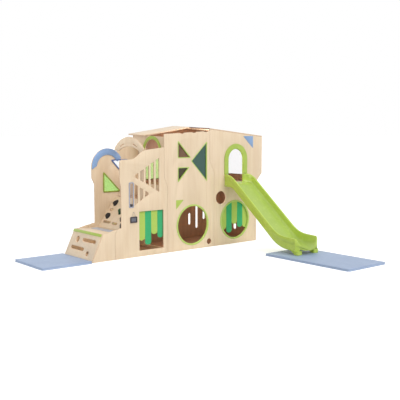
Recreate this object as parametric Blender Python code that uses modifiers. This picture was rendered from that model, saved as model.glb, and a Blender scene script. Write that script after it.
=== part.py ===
"""Timber play castle: a two-room tower with a slide, a climber with a ramp, and two floor mats.

Metres, +Z up. The front of the castle faces -Y and the origin is the middle of the tower's
underside. All the front boards stand in one plane, FRONT.
"""

import math

import bmesh
import bpy
from mathutils import Matrix

# Boards and clearances
BOARD = 0.018
SEAM = 0.003
GAP = 0.0003
TRIM = 0.008
PANE = 0.004
PANE_LAP = 0.015

# Tower
WINDOW_PANEL_WIDTH = 0.91
SLIDE_PANEL_WIDTH = 0.93
TOWER_DEPTH = 0.90
DECK_TOP = 1.0
ROOM_HEIGHT = 0.856
SEAM_LEAN = 0.09
WING_LEFT = 0.06
WING_RIGHT = 0.12
WING_START = -0.015
WING_RISE = 0.15
PARAPET_LEFT = 0.768
PARAPET_RIGHT = 0.813
BATTEN = 0.03
BATTEN_HEIGHT = 0.04

# Roof
ROOF_RISE = 0.045
PITCH_LEFT = 0.144
PITCH_RIGHT = 0.107
ROOF_LEFT_DEPTH = 0.43
ROOF_BACK = 0.03
ROOF_LEFT_OVERHANG = 0.065

# Windows and doors
PORTHOLE_BORE = 0.60
PORTHOLE_HEIGHT = 0.378
PORTHOLE_FLANGE = 0.016
PORTHOLE_LEFT_IN = 0.48
PORTHOLE_RIGHT_IN = 0.483
DOOR_RADIUS = 0.164
DOOR_BAND = 0.081
DOOR_SPRING = 0.365
DOOR_IN = 0.471
ROUND_HOLE_RADIUS = 0.104
FLOOR_HOLE_RADIUS = 0.046
LEFT_DOOR_RADIUS = 0.19
LEFT_DOOR_BAND = 0.05
LEFT_DOOR_SPRING = 0.50
LEFT_DOOR_BACK = 0.39
BACK_WINDOW_RADIUS = 0.20
BACK_WINDOW_SILL = 0.05
BACK_WINDOW_SPRING = 0.22
CRAWL_RADIUS = 0.24
CRAWL_SILL = 0.06

# Climber
CLIMBER_DEPTH = 0.77
STEP_DOWN = 0.18
PLATFORM_TOP = 0.385
RAMP_RUN = 0.18
RAMP_HOLES = (0.045, 0.036)
CLIMB_RUN = 0.32
CLIMBER_LENGTH = 0.427
PLATFORM_LENGTH = 0.393
RISER_BACK = 0.06
FOOT_TOP = 0.44
FOOT_RADIUS = 0.10
FOOT_FRONT = 0.927
NEAR_HEAD = 0.41
NOSING = (0.008, 0.036)
DOORWAY = (0.08, 0.515, 0.085, 0.655)
SLOT_WIDTH = 0.06
SLOT_PITCH = 0.092
ARCH_RADIUS = 0.275
ARCH_BAND = 0.085
ARCH_DROP = 0.015
ARCH_ENDS = (188, 172, 26)
PORTAL_OUTER = (0.012, 0.175)
PORTAL_INNER = (0.07, 0.272)
PORTAL_SLOT = (0.17, 0.60)
NEAR_RISE = 0.54
FAR_RISE = 0.62
FAR_SWEEP = 0.13
HOLD = (0.050, 0.028, 0.032)

# Curtain strips: (emerald, bottom height)
STRIP = 0.003
STRIP_SPACE = 0.002
DOOR_STRIPS = ((False, 0.227), (True, 0.154), (False, 0.300), (True, 0.240))
PORT_STRIPS = ((False, 0.240), (True, 0.182), (False, 0.313), (True, 0.254), (False, 0.240))
PORT_STRIP_WIDTH = 0.118
PORT_CURTAIN_SHIFT = 0.012
RAIL = 0.014

# Slide
SLIDE_WIDTH = 0.48
SLIDE_RUN = 1.60
SLIDE_END = 0.108
SLIDE_WALL = 0.028
SLIDE_RAIL = 0.125
SLIDE_SKIRT = 0.048
SLIDE_HOOD = 0.008
NOSE = 0.03
NOSE_DROP = 0.04
NOSE_BOW = 0.12
END_RISE = 0.040
END_THIN = 0.016
KNEE_OUT = 0.16
KNEE_DROP = 0.02
RUNOUT_OUT = 1.17
RUNOUT_HEIGHT = 0.165
LEG_OUT = 1.525
LEG = (0.10, 0.065)
LEG_LEAN = 0.06
LEG_INSET = 0.015
LEG_SINK = 0.012

# Mats
MAT = 0.035
LEFT_MAT = (0.75, 0.85)
RIGHT_MAT = (0.805, 1.52)
RIGHT_MAT_OUT = 1.106
RIGHT_MAT_IN = 0.098
MAT_EDGE = 0.012

# Worked out from the sizes above
WIDTH = WINDOW_PANEL_WIDTH + SLIDE_PANEL_WIDTH
LEFT = -WIDTH / 2
RIGHT = WIDTH / 2
FRONT = -TOWER_DEPTH / 2
BACK = TOWER_DEPTH / 2
SEAM_FOOT = LEFT + WINDOW_PANEL_WIDTH
RIDGE = SEAM_FOOT - SEAM_LEAN
RIDGE_TOP = DECK_TOP + ROOM_HEIGHT
WING_LOW = DECK_TOP + WING_START
WING_HIGH = WING_LOW + WING_RISE
INNER_FRONT = FRONT + BOARD + GAP
INNER_BACK = BACK - BOARD - GAP
FAR = FRONT + CLIMBER_DEPTH
INNER_FAR = FAR - BOARD - GAP
CLIMB_TOP = DECK_TOP - STEP_DOWN
CLIMB_END = LEFT - CLIMBER_LENGTH
CLIMB_START = CLIMB_END - CLIMB_RUN
RAMP_TOP_X = CLIMB_START - PLATFORM_LENGTH
RAMP_FOOT_X = RAMP_TOP_X - RAMP_RUN
CLIMB_ANGLE = math.atan2(CLIMB_TOP - PLATFORM_TOP, CLIMB_RUN)
RAMP_ANGLE = math.atan2(PLATFORM_TOP, RAMP_RUN)
DOOR_X = RIGHT - DOOR_IN
LEFT_DOOR_Y = FRONT + LEFT_DOOR_BACK
BACK_WINDOW_X = LEFT + 0.42
HEAD_X = LEFT - 0.57
HEAD_Z = DECK_TOP + 0.28
PORTAL_X = LEFT - 0.42
PORT_X = RIGHT - PORTHOLE_RIGHT_IN
PORT_HEIGHT = PORTHOLE_HEIGHT + 0.012

# Colours, linear RGB
WOOD = (0.82, 0.66, 0.47)
WOOD_INSIDE = (0.17, 0.08, 0.045)
LIME = (0.37, 0.54, 0.05)
PALE_LIME = (0.45, 0.63, 0.14)
EMERALD = (0.045, 0.42, 0.17)
BLUE = (0.20, 0.35, 0.60)
MAT_BLUE = (0.40, 0.49, 0.64)
TEAL = (0.06, 0.33, 0.30)
STONE = (0.02, 0.014, 0.01)
SLATE = (0.22, 0.22, 0.22)


def collection(name):
    made = bpy.data.collections.new(name)
    bpy.context.scene.collection.children.link(made)
    return made


def finish(name, colour, roughness=0.5, metallic=0.0):
    """The material of that name, made the first time that it is asked for."""
    found = bpy.data.materials.get(name)
    if found:
        return found
    made = bpy.data.materials.new(name)
    made.use_nodes = True
    shader = made.node_tree.nodes["Principled BSDF"]
    shader.inputs["Base Color"].default_value = (*colour, 1.0)
    shader.inputs["Roughness"].default_value = roughness
    shader.inputs["Metallic"].default_value = metallic
    made.diffuse_color = (*colour, 1.0)
    return made


def arc(centre, radius, start, end, steps):
    """Points on a circle, the angles in degrees."""
    points = []
    for step in range(steps + 1):
        angle = math.radians(start + (end - start) * step / steps)
        points.append((centre[0] + radius * math.cos(angle), centre[1] + radius * math.sin(angle)))
    return points


def circle(centre, radius, steps=48):
    return arc(centre, radius, 0, 360 * (steps - 1) / steps, steps - 1)


def oblong(centre, width, height):
    """A slot with round ends, upright or lying."""
    radius = min(width, height) / 2
    x, y = centre
    reach = max(width, height) / 2 - radius
    if width > height:
        return arc((x + reach, y), radius, -90, 90, 6) + arc((x - reach, y), radius, 90, 270, 6)
    return arc((x, y + reach), radius, 0, 180, 6) + arc((x, y - reach), radius, 180, 360, 6)


def rectangle(left, right, low, high):
    return [(left, low), (right, low), (right, high), (left, high)]


def corner(before, point, after, radius, steps):
    """The points that round one corner of an outline."""
    way_in = (before[0] - point[0], before[1] - point[1])
    way_out = (after[0] - point[0], after[1] - point[1])
    length_in = math.hypot(*way_in)
    length_out = math.hypot(*way_out)
    cosine = (way_in[0] * way_out[0] + way_in[1] * way_out[1]) / (length_in * length_out)
    half = math.acos(max(-1.0, min(1.0, cosine))) / 2
    reach = min(radius / math.tan(half), 0.49 * length_in, 0.49 * length_out)
    first = (point[0] + way_in[0] / length_in * reach, point[1] + way_in[1] / length_in * reach)
    last = (point[0] + way_out[0] / length_out * reach, point[1] + way_out[1] / length_out * reach)
    points = []
    for step in range(steps + 1):
        t = step / steps
        a, b, c = (1 - t) ** 2, 2 * t * (1 - t), t * t
        points.append(
            (a * first[0] + b * point[0] + c * last[0], a * first[1] + b * point[1] + c * last[1])
        )
    return points


def rounded(points, radius, steps=4):
    """A closed outline with each of its corners rounded."""
    made = []
    count = len(points)
    for index, point in enumerate(points):
        made += corner(points[index - 1], point, points[(index + 1) % count], radius, steps)
    return made


def inset(points, distance):
    """A convex outline, anticlockwise, moved inwards; a negative distance moves it outwards."""
    made = []
    count = len(points)
    for index, point in enumerate(points):
        before = points[index - 1]
        after = points[(index + 1) % count]
        a = math.atan2(point[1] - before[1], point[0] - before[0])
        b = math.atan2(after[1] - point[1], after[0] - point[0])
        turn = math.tan((b - a) / 2)
        shift_along = distance * turn
        made.append(
            (
                point[0] - distance * math.sin(a) - shift_along * math.cos(a),
                point[1] + distance * math.cos(a) - shift_along * math.sin(a),
            )
        )
    return made


def doorway(centre, radius, spring, sill, steps=16):
    """A round-headed opening or board, from its sill up."""
    return [(centre - radius, sill), (centre + radius, sill)] + arc(
        (centre, spring), radius, 0, 180, steps
    )


def arch_band(centre, inner, outer, spring, sill, steps=16):
    """An arch-shaped band that stands on its two feet."""
    return (
        [(centre + inner, sill), (centre + outer, sill)]
        + arc((centre, spring), outer, 0, 180, steps)
        + [(centre - outer, sill), (centre - inner, sill)]
        + arc((centre, spring), inner, 180, 0, steps)
    )


def place(obj, material, parent=None):
    castle.objects.link(obj)
    obj.data.materials.append(material)
    obj.parent = parent or origin
    return obj


def outline_curve(name, loops, thickness):
    curve = bpy.data.curves.new(name, "CURVE")
    curve.dimensions = "2D"
    curve.fill_mode = "BOTH"
    curve.extrude = thickness / 2
    for loop in loops:
        spline = curve.splines.new("POLY")
        spline.points.add(len(loop) - 1)
        for point, (a, b) in zip(spline.points, loop):
            point.co = (a, b, 0, 1)
        spline.use_cyclic_u = True
    return bpy.data.objects.new(name, curve)


def front_board(name, loops, low_y, material, thickness=BOARD, at=(0, 0)):
    """A board whose outline is in X and Z, from low_y back; at is its origin in X and Z."""
    obj = outline_curve(name, loops, thickness)
    obj.rotation_euler = (math.radians(90), 0, 0)
    obj.location = (at[0], low_y + thickness / 2, at[1])
    return place(obj, material)


def side_board(name, loops, low_x, material, thickness=BOARD):
    """A board whose outline is in Y and Z, from low_x to the right."""
    obj = outline_curve(name, loops, thickness)
    obj.rotation_euler = (math.radians(90), 0, math.radians(90))
    obj.location = (low_x + thickness / 2, 0, 0)
    return place(obj, material)


def flat_board(name, loops, top, material, thickness=BOARD):
    """A level board whose outline is in X and Y."""
    obj = outline_curve(name, loops, thickness)
    obj.location = (0, 0, top - thickness / 2)
    return place(obj, material)


def as_mesh(obj):
    """The object that replaces a curve, as a mesh in world space."""
    bpy.context.view_layer.update()
    graph = bpy.context.evaluated_depsgraph_get()
    mesh = bpy.data.meshes.new_from_object(obj.evaluated_get(graph))
    mesh.transform(obj.matrix_world)
    shape = bmesh.new()
    shape.from_mesh(mesh)
    bmesh.ops.remove_doubles(shape, verts=shape.verts, dist=0.00001)
    shape.to_mesh(mesh)
    shape.free()
    name, parent = obj.name, obj.parent
    bpy.data.objects.remove(obj)
    made = bpy.data.objects.new(name, mesh)
    castle.objects.link(made)
    made.parent = parent
    return made


def leaning_board(name, loops, foot_x, foot_z, angle, material, thickness=BOARD):
    """A board across the castle that leans back at angle from the level, cut level at its ends."""
    wide = thickness / math.sin(angle)
    obj = as_mesh(side_board(name, loops, foot_x, material, wide))
    for vertex in obj.data.vertices:
        vertex.co.x += (vertex.co.z - foot_z) / math.tan(angle)
    return obj


def box(name, low, high, material, bevel=0.0):
    """A box between two corners, its edges rounded where bevel is given."""
    mesh = bpy.data.meshes.new(name)
    shape = bmesh.new()
    bmesh.ops.create_cube(shape, size=1.0)
    size = [b - a for a, b in zip(low, high)]
    middle = [(a + b) / 2 for a, b in zip(low, high)]
    bmesh.ops.scale(shape, vec=size, verts=shape.verts)
    bmesh.ops.translate(shape, vec=middle, verts=shape.verts)
    shape.to_mesh(mesh)
    shape.free()
    obj = place(bpy.data.objects.new(name, mesh), material)
    if bevel:
        add_bevel(obj, bevel)
    return obj


def add_bevel(obj, width, segments=2):
    modifier = obj.modifiers.new("edges", "BEVEL")
    modifier.width = width
    modifier.segments = segments
    modifier.limit_method = "ANGLE"


def turned(name, profile, steps, material, smooth=True):
    """A turned piece round local Z, from (radius, height) points that run down the outer side."""
    mesh = bpy.data.meshes.new(name)
    shape = bmesh.new()
    points = [shape.verts.new((radius, 0, height)) for radius, height in profile]
    for first, second in zip(points, points[1:] + points[:1]):
        shape.edges.new((first, second))
    shape.to_mesh(mesh)
    shape.free()
    obj = place(bpy.data.objects.new(name, mesh), material)
    screw = obj.modifiers.new("turn", "SCREW")
    screw.steps = steps
    screw.render_steps = steps
    screw.use_merge_vertices = True
    screw.merge_threshold = 0.0001
    screw.use_smooth_shade = smooth
    return obj


def roof_top(x, y):
    """The height of the roof's upper side."""
    pitch = PITCH_RIGHT if x > RIDGE else PITCH_LEFT
    return RIDGE_TOP + ROOF_RISE * (y - FRONT) - pitch * abs(x - RIDGE)


def roof_under(x, y):
    return roof_top(x, y) - BOARD - GAP


def roof_board(name, low_x, high_x, low_y, high_y, material):
    obj = box(name, (low_x, low_y, -BOARD), (high_x, high_y, 0), material)
    middle = (low_x + high_x) / 2
    pitch = -PITCH_RIGHT if middle > RIDGE else PITCH_LEFT
    for vertex in obj.data.vertices:
        x, y = vertex.co.x, vertex.co.y
        vertex.co.z += RIDGE_TOP + ROOF_RISE * (y - FRONT) + pitch * (x - RIDGE)
    return obj


def clipped_slots(apex, slope, centre_z, first, count, pitch):
    """Upright slots that together fill a triangle whose apex lies at apex."""
    slots = []
    for index in range(count):
        middle = first + pitch * index
        near = abs(middle - math.copysign(SLOT_WIDTH / 2, middle - apex) - apex)
        far = abs(middle + math.copysign(SLOT_WIDTH / 2, middle - apex) - apex)
        left, right = middle - SLOT_WIDTH / 2, middle + SLOT_WIDTH / 2
        at_left, at_right = (near, far) if middle > apex else (far, near)
        at_left = max(at_left, 0.01)
        at_right = max(at_right, 0.01)
        loop = [
            (left, centre_z - slope * at_left),
            (right, centre_z - slope * at_right),
            (right, centre_z + slope * at_right),
            (left, centre_z + slope * at_left),
        ]
        slots.append(rounded(loop, 0.008, 2))
    return slots


def seam_line(shift):
    """The joint between the two front panels of the tower, from the floor up."""
    return [
        (SEAM_FOOT + shift, 0),
        (SEAM_FOOT + shift, DECK_TOP + 0.17),
        (RIDGE + shift, DECK_TOP + 0.364),
    ]


def window_triangles():
    """The outlines of the three windows of the window panel, anticlockwise."""
    near, far = LEFT + 0.20, LEFT + 0.40
    low, high = DECK_TOP + 0.415, DECK_TOP + 0.655
    upper = [(near, low), (LEFT + 0.43, low), (near, high)]
    lower = [(near, DECK_TOP + 0.055), (far, DECK_TOP + 0.26), (near, DECK_TOP + 0.26)]
    edge, apex = LEFT + 0.757, LEFT + 0.458
    right = [(edge, DECK_TOP + 0.05), (edge, DECK_TOP + 0.64), (apex, DECK_TOP + 0.358)]
    return {"upper": upper, "lower": lower, "right": right}


def tower_front(wood):
    """The window panel and the slide panel, side by side in the front plane."""
    left_top = (LEFT - WING_LEFT, DECK_TOP + PARAPET_LEFT)
    right_top = (RIDGE - SEAM / 2, DECK_TOP + PARAPET_RIGHT)
    slope = (right_top[1] - left_top[1]) / (right_top[0] - left_top[0])
    parapet = [right_top]
    for out in (0.75, 0.515, 0.28):
        middle = LEFT + out
        for x, drop in ((0.04, 0), (0.03, 0.012), (-0.03, 0.012), (-0.04, 0)):
            height = left_top[1] + slope * (middle + x - left_top[0])
            parapet.append((middle + x, height - drop))
    outline = seam_line(-SEAM / 2) + parapet
    outline += [
        left_top,
        (LEFT - WING_LEFT, WING_HIGH),
        (LEFT, WING_LOW),
        (LEFT, 0),
    ]
    port = (LEFT + PORTHOLE_LEFT_IN, PORTHOLE_HEIGHT)
    loops = [outline]
    loops += [rounded(points, 0.008, 3) for points in window_triangles().values()]
    loops.append(circle(port, PORTHOLE_BORE / 2))
    loops.append(circle((SEAM_FOOT - 0.10, 0.088), FLOOR_HOLE_RADIUS, 24))
    front_board("window_panel", loops, FRONT, wood)

    outline = [(x, z) for x, z in reversed(seam_line(SEAM / 2))]
    outline = [
        (RIDGE + SEAM / 2, roof_under(RIDGE + SEAM, FRONT)),
        *outline,
        (RIGHT, 0),
        (RIGHT, WING_LOW),
        (RIGHT + WING_RIGHT, WING_HIGH - 0.012),
        (RIGHT + WING_RIGHT, roof_under(RIGHT + WING_RIGHT, FRONT)),
    ]
    loops = [outline]
    loops.append(doorway(DOOR_X, DOOR_RADIUS, DECK_TOP + DOOR_SPRING, DECK_TOP))
    loops.append(circle((PORT_X, PORT_HEIGHT), PORTHOLE_BORE / 2))
    loops.append(circle((RIGHT - 0.785, 0.762), ROUND_HOLE_RADIUS, 32))
    front_board("slide_panel", loops, FRONT, wood)


def tower_back(wood):
    """The back panel: a round-headed window above the deck and a group of slots below it."""
    near = BACK - BOARD
    outline = [
        (LEFT, 0),
        (RIGHT, 0),
        (RIGHT, roof_under(RIGHT, near)),
        (RIDGE, roof_under(RIDGE, near)),
        (LEFT, roof_under(LEFT, near)),
    ]
    loops = [outline, back_window(0)]
    for out, low, high in ((0.713, 0.23, 0.43), (0.554, 0.16, 0.57), (0.395, 0.30, 0.47)):
        loops.append(oblong((RIGHT - out, (low + high) / 2), 0.05, high - low))
    front_board("back_panel", loops, near, wood)


def back_window(lap):
    """The outline of the back window, grown by lap all round."""
    return doorway(
        BACK_WINDOW_X,
        BACK_WINDOW_RADIUS + lap,
        DECK_TOP + BACK_WINDOW_SPRING,
        DECK_TOP + BACK_WINDOW_SILL - lap,
        20,
    )


def tower_sides(wood):
    """The end walls of the tower: a door and a crawl hole on the left, a window on the right."""
    sill = DECK_TOP + GAP
    left_x = LEFT + BOARD / 2
    outline = [
        (INNER_FRONT, 0),
        (INNER_BACK, 0),
        (INNER_BACK, roof_under(LEFT, INNER_BACK)),
        (INNER_FRONT, roof_under(LEFT, INNER_FRONT)),
    ]
    door = doorway(LEFT_DOOR_Y, LEFT_DOOR_RADIUS, DECK_TOP + LEFT_DOOR_SPRING, sill)
    crawl = doorway(FRONT + 0.36, CRAWL_RADIUS, CRAWL_SILL + 0.32, CRAWL_SILL)
    side_board("tower_left_wall", [outline, door, crawl], left_x - BOARD / 2, wood)
    outline = [
        (INNER_FRONT, 0),
        (INNER_BACK, 0),
        (INNER_BACK, roof_under(RIGHT, INNER_BACK)),
        (INNER_FRONT, roof_under(RIGHT, INNER_FRONT)),
    ]
    loops = [outline, rounded(right_window(), 0.07, 6), oblong((FRONT + 0.51, 0.19), 0.07, 0.11)]
    side_board("tower_right_wall", loops, RIGHT - BOARD, wood)


def right_window():
    return rectangle(FRONT + 0.20, BACK - 0.10, DECK_TOP + 0.09, DECK_TOP + 0.56)


def tower_floors(wood, brown):
    """Floor and deck, with the battens on the end walls that carry the deck."""
    left, right = LEFT + BOARD + GAP, RIGHT - BOARD - GAP
    deck = rectangle(left, right, INNER_FRONT, INNER_BACK)
    flat_board("tower_floor", [deck], BOARD, brown)
    flat_board("tower_deck", [deck], DECK_TOP, brown)
    top = DECK_TOP - BOARD - GAP
    low = top - BATTEN_HEIGHT
    ends = (INNER_FRONT + 0.02, INNER_BACK - 0.02)
    box("deck_batten_left", (left, ends[0], low), (left + BATTEN, ends[1], top), wood)
    box("deck_batten_right", (right - BATTEN, ends[0], low), (right, ends[1], top), wood)


def roof(wood):
    """Two boards that meet on the ridge; the left one covers the back half only."""
    far = BACK + ROOF_BACK
    roof_board("roof_right_board", RIDGE + GAP, RIGHT + WING_RIGHT, FRONT, far, wood)
    near = far - ROOF_LEFT_DEPTH
    roof_board("roof_left_board", LEFT - ROOF_LEFT_OVERHANG, RIDGE - GAP, near, far, wood)


def porthole_rim(name, centre_x, height, lime):
    """A turned rim: a flange on the front of the panel and a sleeve through it."""
    bore = PORTHOLE_BORE / 2 - GAP
    inside = bore - 0.010
    outside = PORTHOLE_BORE / 2 + PORTHOLE_FLANGE
    profile = [
        (inside, TRIM),
        (outside - 0.004, TRIM),
        (outside, TRIM - 0.004),
        (outside, GAP),
        (bore, GAP),
        (bore, -BOARD),
        (inside, -BOARD),
    ]
    rim = turned(name, profile, 48, lime)
    rim.rotation_euler = (math.radians(90), 0, 0)
    rim.location = (centre_x, FRONT, height)


def tower_trim(lime, pale, panes):
    """Door bands, porthole rims and window panes."""
    porthole_rim("porthole_rim_left", LEFT + PORTHOLE_LEFT_IN, PORTHOLE_HEIGHT, pale)
    porthole_rim("porthole_rim_right", PORT_X, PORT_HEIGHT, pale)
    band = arch_band(
        DOOR_X,
        DOOR_RADIUS,
        DOOR_RADIUS + DOOR_BAND,
        DECK_TOP + DOOR_SPRING,
        DECK_TOP + SLIDE_RAIL + SLIDE_HOOD + GAP,
    )
    proud = 0.014
    front_board("slide_door_band", [band], FRONT - proud - GAP, lime, proud)
    band = arch_band(
        LEFT_DOOR_Y,
        LEFT_DOOR_RADIUS,
        LEFT_DOOR_RADIUS + LEFT_DOOR_BAND,
        DECK_TOP + LEFT_DOOR_SPRING,
        DECK_TOP + 0.13,
    )
    side_board("left_door_band", [band], LEFT - TRIM - GAP, lime, TRIM)
    for place_name, points in window_triangles().items():
        pane = rounded(inset(points, -PANE_LAP), 0.012, 3)
        name = f"window_pane_{place_name}"
        front_board(name, [pane], FRONT + BOARD + GAP, panes[place_name], PANE)
    front_board("back_window_pane", [back_window(PANE_LAP)], INNER_BACK - PANE, panes["back"], PANE)
    pane = rounded(inset(right_window(), -PANE_LAP), 0.08, 6)
    side_board("side_window_pane", [pane], RIGHT - BOARD - GAP - PANE, panes["side"], PANE)


def hinge(name, at):
    """An empty on a joint's axis, which carries the piece that moves."""
    made = bpy.data.objects.new(name, None)
    made.location = at
    made.parent = origin
    castle.objects.link(made)
    return made


def curtain(kind, left, width, tops, strips, rail, light, emerald):
    """Strips that each hang on a hinge under a rail, inside the front wall."""
    back = FRONT + BOARD + GAP
    depth = 0.012
    half = (width - STRIP_SPACE) / 2
    end = half * 0.8
    for index, (green, bottom) in enumerate(strips):
        top = tops[index]
        straight = top - bottom - end
        outline = [(half, 0), (-half, 0), (-half, -straight)]
        for step in range(1, 8):
            angle = math.radians(180 + 180 * step / 8)
            outline.append((half * math.cos(angle), end * math.sin(angle) - straight))
        outline += [(half, -straight)]
        colour = emerald if green else light
        name = f"{kind}_strip_{index + 1}"
        strip = front_board(name, [outline], -STRIP, colour, STRIP)
        middle = left + width * (index + 0.5)
        strip.parent = hinge(f"{name}_hinge", (middle, back + depth / 2 + STRIP / 2, top))
    front_board(f"{kind}_strip_rail", [rail], back, finish("rail_wood", WOOD, 0.55), depth)


def curtains(light, emerald):
    """The doorway's level curtain, and the porthole's, whose outer strips hang lower."""
    top = DOORWAY[3] + 0.005
    left = LEFT - DOORWAY[1] + 0.005
    width = (DOORWAY[1] - DOORWAY[0] + 0.01) / len(DOOR_STRIPS)
    high = top + GAP + RAIL
    behind_wall = BOARD / math.sin(CLIMB_ANGLE) + (high - PLATFORM_TOP) / math.tan(CLIMB_ANGLE)
    clear = max(left, CLIMB_START + behind_wall + SEAM / 2)
    rail = rectangle(clear, left + width * len(DOOR_STRIPS), top + GAP, high)
    curtain("door", left, width, [top] * len(DOOR_STRIPS), DOOR_STRIPS, rail, light, emerald)

    width = PORT_STRIP_WIDTH
    left = PORT_X + PORT_CURTAIN_SHIFT - width * len(PORT_STRIPS) / 2
    right = left + width * len(PORT_STRIPS)
    top = PORT_HEIGHT + PORTHOLE_BORE / 2 + 0.005
    side = top - 0.055
    low, high = side + GAP, top + GAP
    inner = (left + width, right - width)
    rail = [(left, low), (inner[0], low), (inner[0], high), (inner[1], high), (inner[1], low)]
    rail += [(right, low), (right, low + RAIL), (inner[1] + RAIL, low + RAIL)]
    rail += [(inner[1] + RAIL, high + RAIL), (inner[0] - RAIL, high + RAIL)]
    rail += [(inner[0] - RAIL, low + RAIL), (left, low + RAIL)]
    tops = [side] + [top] * (len(PORT_STRIPS) - 2) + [side]
    curtain("porthole", left, width, tops, PORT_STRIPS, rail, light, emerald)


def s_curve(start, end, steps=8):
    """A smooth rise from start to end, level at both ends."""
    points = []
    for step in range(steps + 1):
        t = step / steps
        ease = t * t * (3 - 2 * t)
        points.append((start[0] + (end[0] - start[0]) * t, start[1] + (end[1] - start[1]) * ease))
    return points


def climber_foot(shift):
    """The foot of a climber panel, from the floor up to where its edge turns upright."""
    left = LEFT - FOOT_FRONT
    centre = (left + FOOT_RADIUS, FOOT_TOP - FOOT_RADIUS)
    return [(left - shift, 0)] + arc(centre, FOOT_RADIUS + shift, 180, 90, 8)


def shoulder(x_low, x_high):
    """The left edge of a climber panel: it steps out above deck height."""
    return [(x_low, DECK_TOP + 0.02), (x_high, DECK_TOP + 0.115)]


def climber_near(wood):
    """The near side panel with its doorway and its two groups of slots."""
    top_left = (LEFT - 0.837, DECK_TOP + NEAR_HEAD)
    low_edge = LEFT - 0.82
    outline = climber_foot(0)
    outline += [(low_edge, FOOT_TOP)]
    outline += shoulder(low_edge, LEFT - 0.84)
    outline += corner(
        (LEFT - 0.84, DECK_TOP + 0.115),
        top_left,
        (LEFT - 0.64, DECK_TOP + NEAR_HEAD),
        0.05,
        5,
    )
    outline += s_curve((LEFT - 0.64, DECK_TOP + NEAR_HEAD), (LEFT - 0.39, DECK_TOP + NEAR_RISE))
    outline += [
        (LEFT - WING_LEFT - SEAM, DECK_TOP + 0.573),
        (LEFT - WING_LEFT - SEAM, WING_HIGH),
        (LEFT - SEAM, WING_LOW),
        (LEFT - SEAM, 0),
    ]
    door = rectangle(LEFT - DOORWAY[1], LEFT - DOORWAY[0], DOORWAY[2], DOORWAY[3])
    loops = [list(reversed(outline)), rounded(door, 0.006, 2)]
    upper = LEFT - 0.61
    loops += clipped_slots(upper, 0.55, DECK_TOP + 0.17, LEFT - 0.553, 5, SLOT_PITCH)
    lower = LEFT - 0.325
    loops += clipped_slots(lower, 0.58, DECK_TOP - 0.095, LEFT - 0.378, 3, -SLOT_PITCH)
    loops.append(rounded(rectangle(*slider_slot()), 0.01, 2))
    front_board("climber_near_panel", loops, FRONT, wood)


def slider_slot():
    return (LEFT - 0.675, LEFT - 0.621, DECK_TOP - 0.265, DECK_TOP + 0.07)


def climber_far(wood):
    """The far side panel with its round head and its two triangular windows."""
    low_edge = LEFT - 0.80
    centre = (HEAD_X, HEAD_Z)
    # The head's curve ends just past the arch that stands on it
    valley = math.degrees(math.acos((PORTAL_X + BOARD / 2 + GAP - HEAD_X) / ARCH_RADIUS))
    outline = climber_foot(0)
    outline += [(low_edge, FOOT_TOP)]
    outline += shoulder(low_edge, centre[0] - ARCH_RADIUS)
    outline += arc(centre, ARCH_RADIUS, 180, valley, 18)
    turn = outline[-1]
    outline += s_curve(turn, (turn[0] + FAR_SWEEP, DECK_TOP + FAR_RISE))[1:]
    outline += [
        (LEFT - SEAM, DECK_TOP + FAR_RISE),
        (LEFT - SEAM, 0),
    ]
    loops = [list(reversed(outline))]
    loops += [rounded(points, 0.012, 3) for points in far_windows().values()]
    front_board("climber_far_panel", loops, FAR - BOARD, wood)


def far_windows():
    green = [
        (LEFT - 0.638, DECK_TOP - 0.10),
        (LEFT - 0.36, DECK_TOP - 0.10),
        (LEFT - 0.638, DECK_TOP + 0.184),
    ]
    blue = [
        (LEFT - 0.49, DECK_TOP + 0.37),
        (LEFT - 0.22, DECK_TOP + 0.09),
        (LEFT - 0.22, DECK_TOP + 0.37),
    ]
    return {"green": green, "blue": blue}


def far_trim(blue, panes):
    """The window panes of the far panel, and the band on its round head."""
    for name, points in far_windows().items():
        pane = rounded(inset(points, -PANE_LAP), 0.016, 3)
        front_board(f"{name}_window_pane", [pane], FAR + GAP, panes[name], PANE)
    outer_start, inner_start, end = ARCH_ENDS
    outer = arc((HEAD_X, HEAD_Z), ARCH_RADIUS - 0.002, outer_start, end, 24)
    inner = arc((HEAD_X, HEAD_Z - ARCH_DROP), ARCH_RADIUS - ARCH_BAND, end, inner_start, 24)
    front_board("blue_arch_band", [outer + inner], FAR - BOARD - TRIM - GAP, blue, TRIM)


def climber_sides(wood):
    """The two low side boards beside the platform and the ramp."""
    board_run = BOARD / math.sin(RAMP_ANGLE) + GAP
    top_end = climber_foot(SEAM)
    curb = [point for point in top_end if point[1] < FOOT_TOP - 0.006]
    last = curb[-1]
    ramp_top = (RAMP_TOP_X + board_run, PLATFORM_TOP)
    outline = [(RAMP_FOOT_X + board_run, 0)] + curb
    for step in range(1, 8):
        t = step / 8
        ease = 1 - t * t * (3 - 2 * t)
        x = last[0] + (ramp_top[0] - last[0]) * t
        outline.append((x, PLATFORM_TOP + (last[1] - PLATFORM_TOP) * ease))
    outline.append(ramp_top)
    front_board("low_side_near", [outline], FRONT, wood)
    front_board("low_side_far", [outline], FAR - BOARD, wood)


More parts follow.
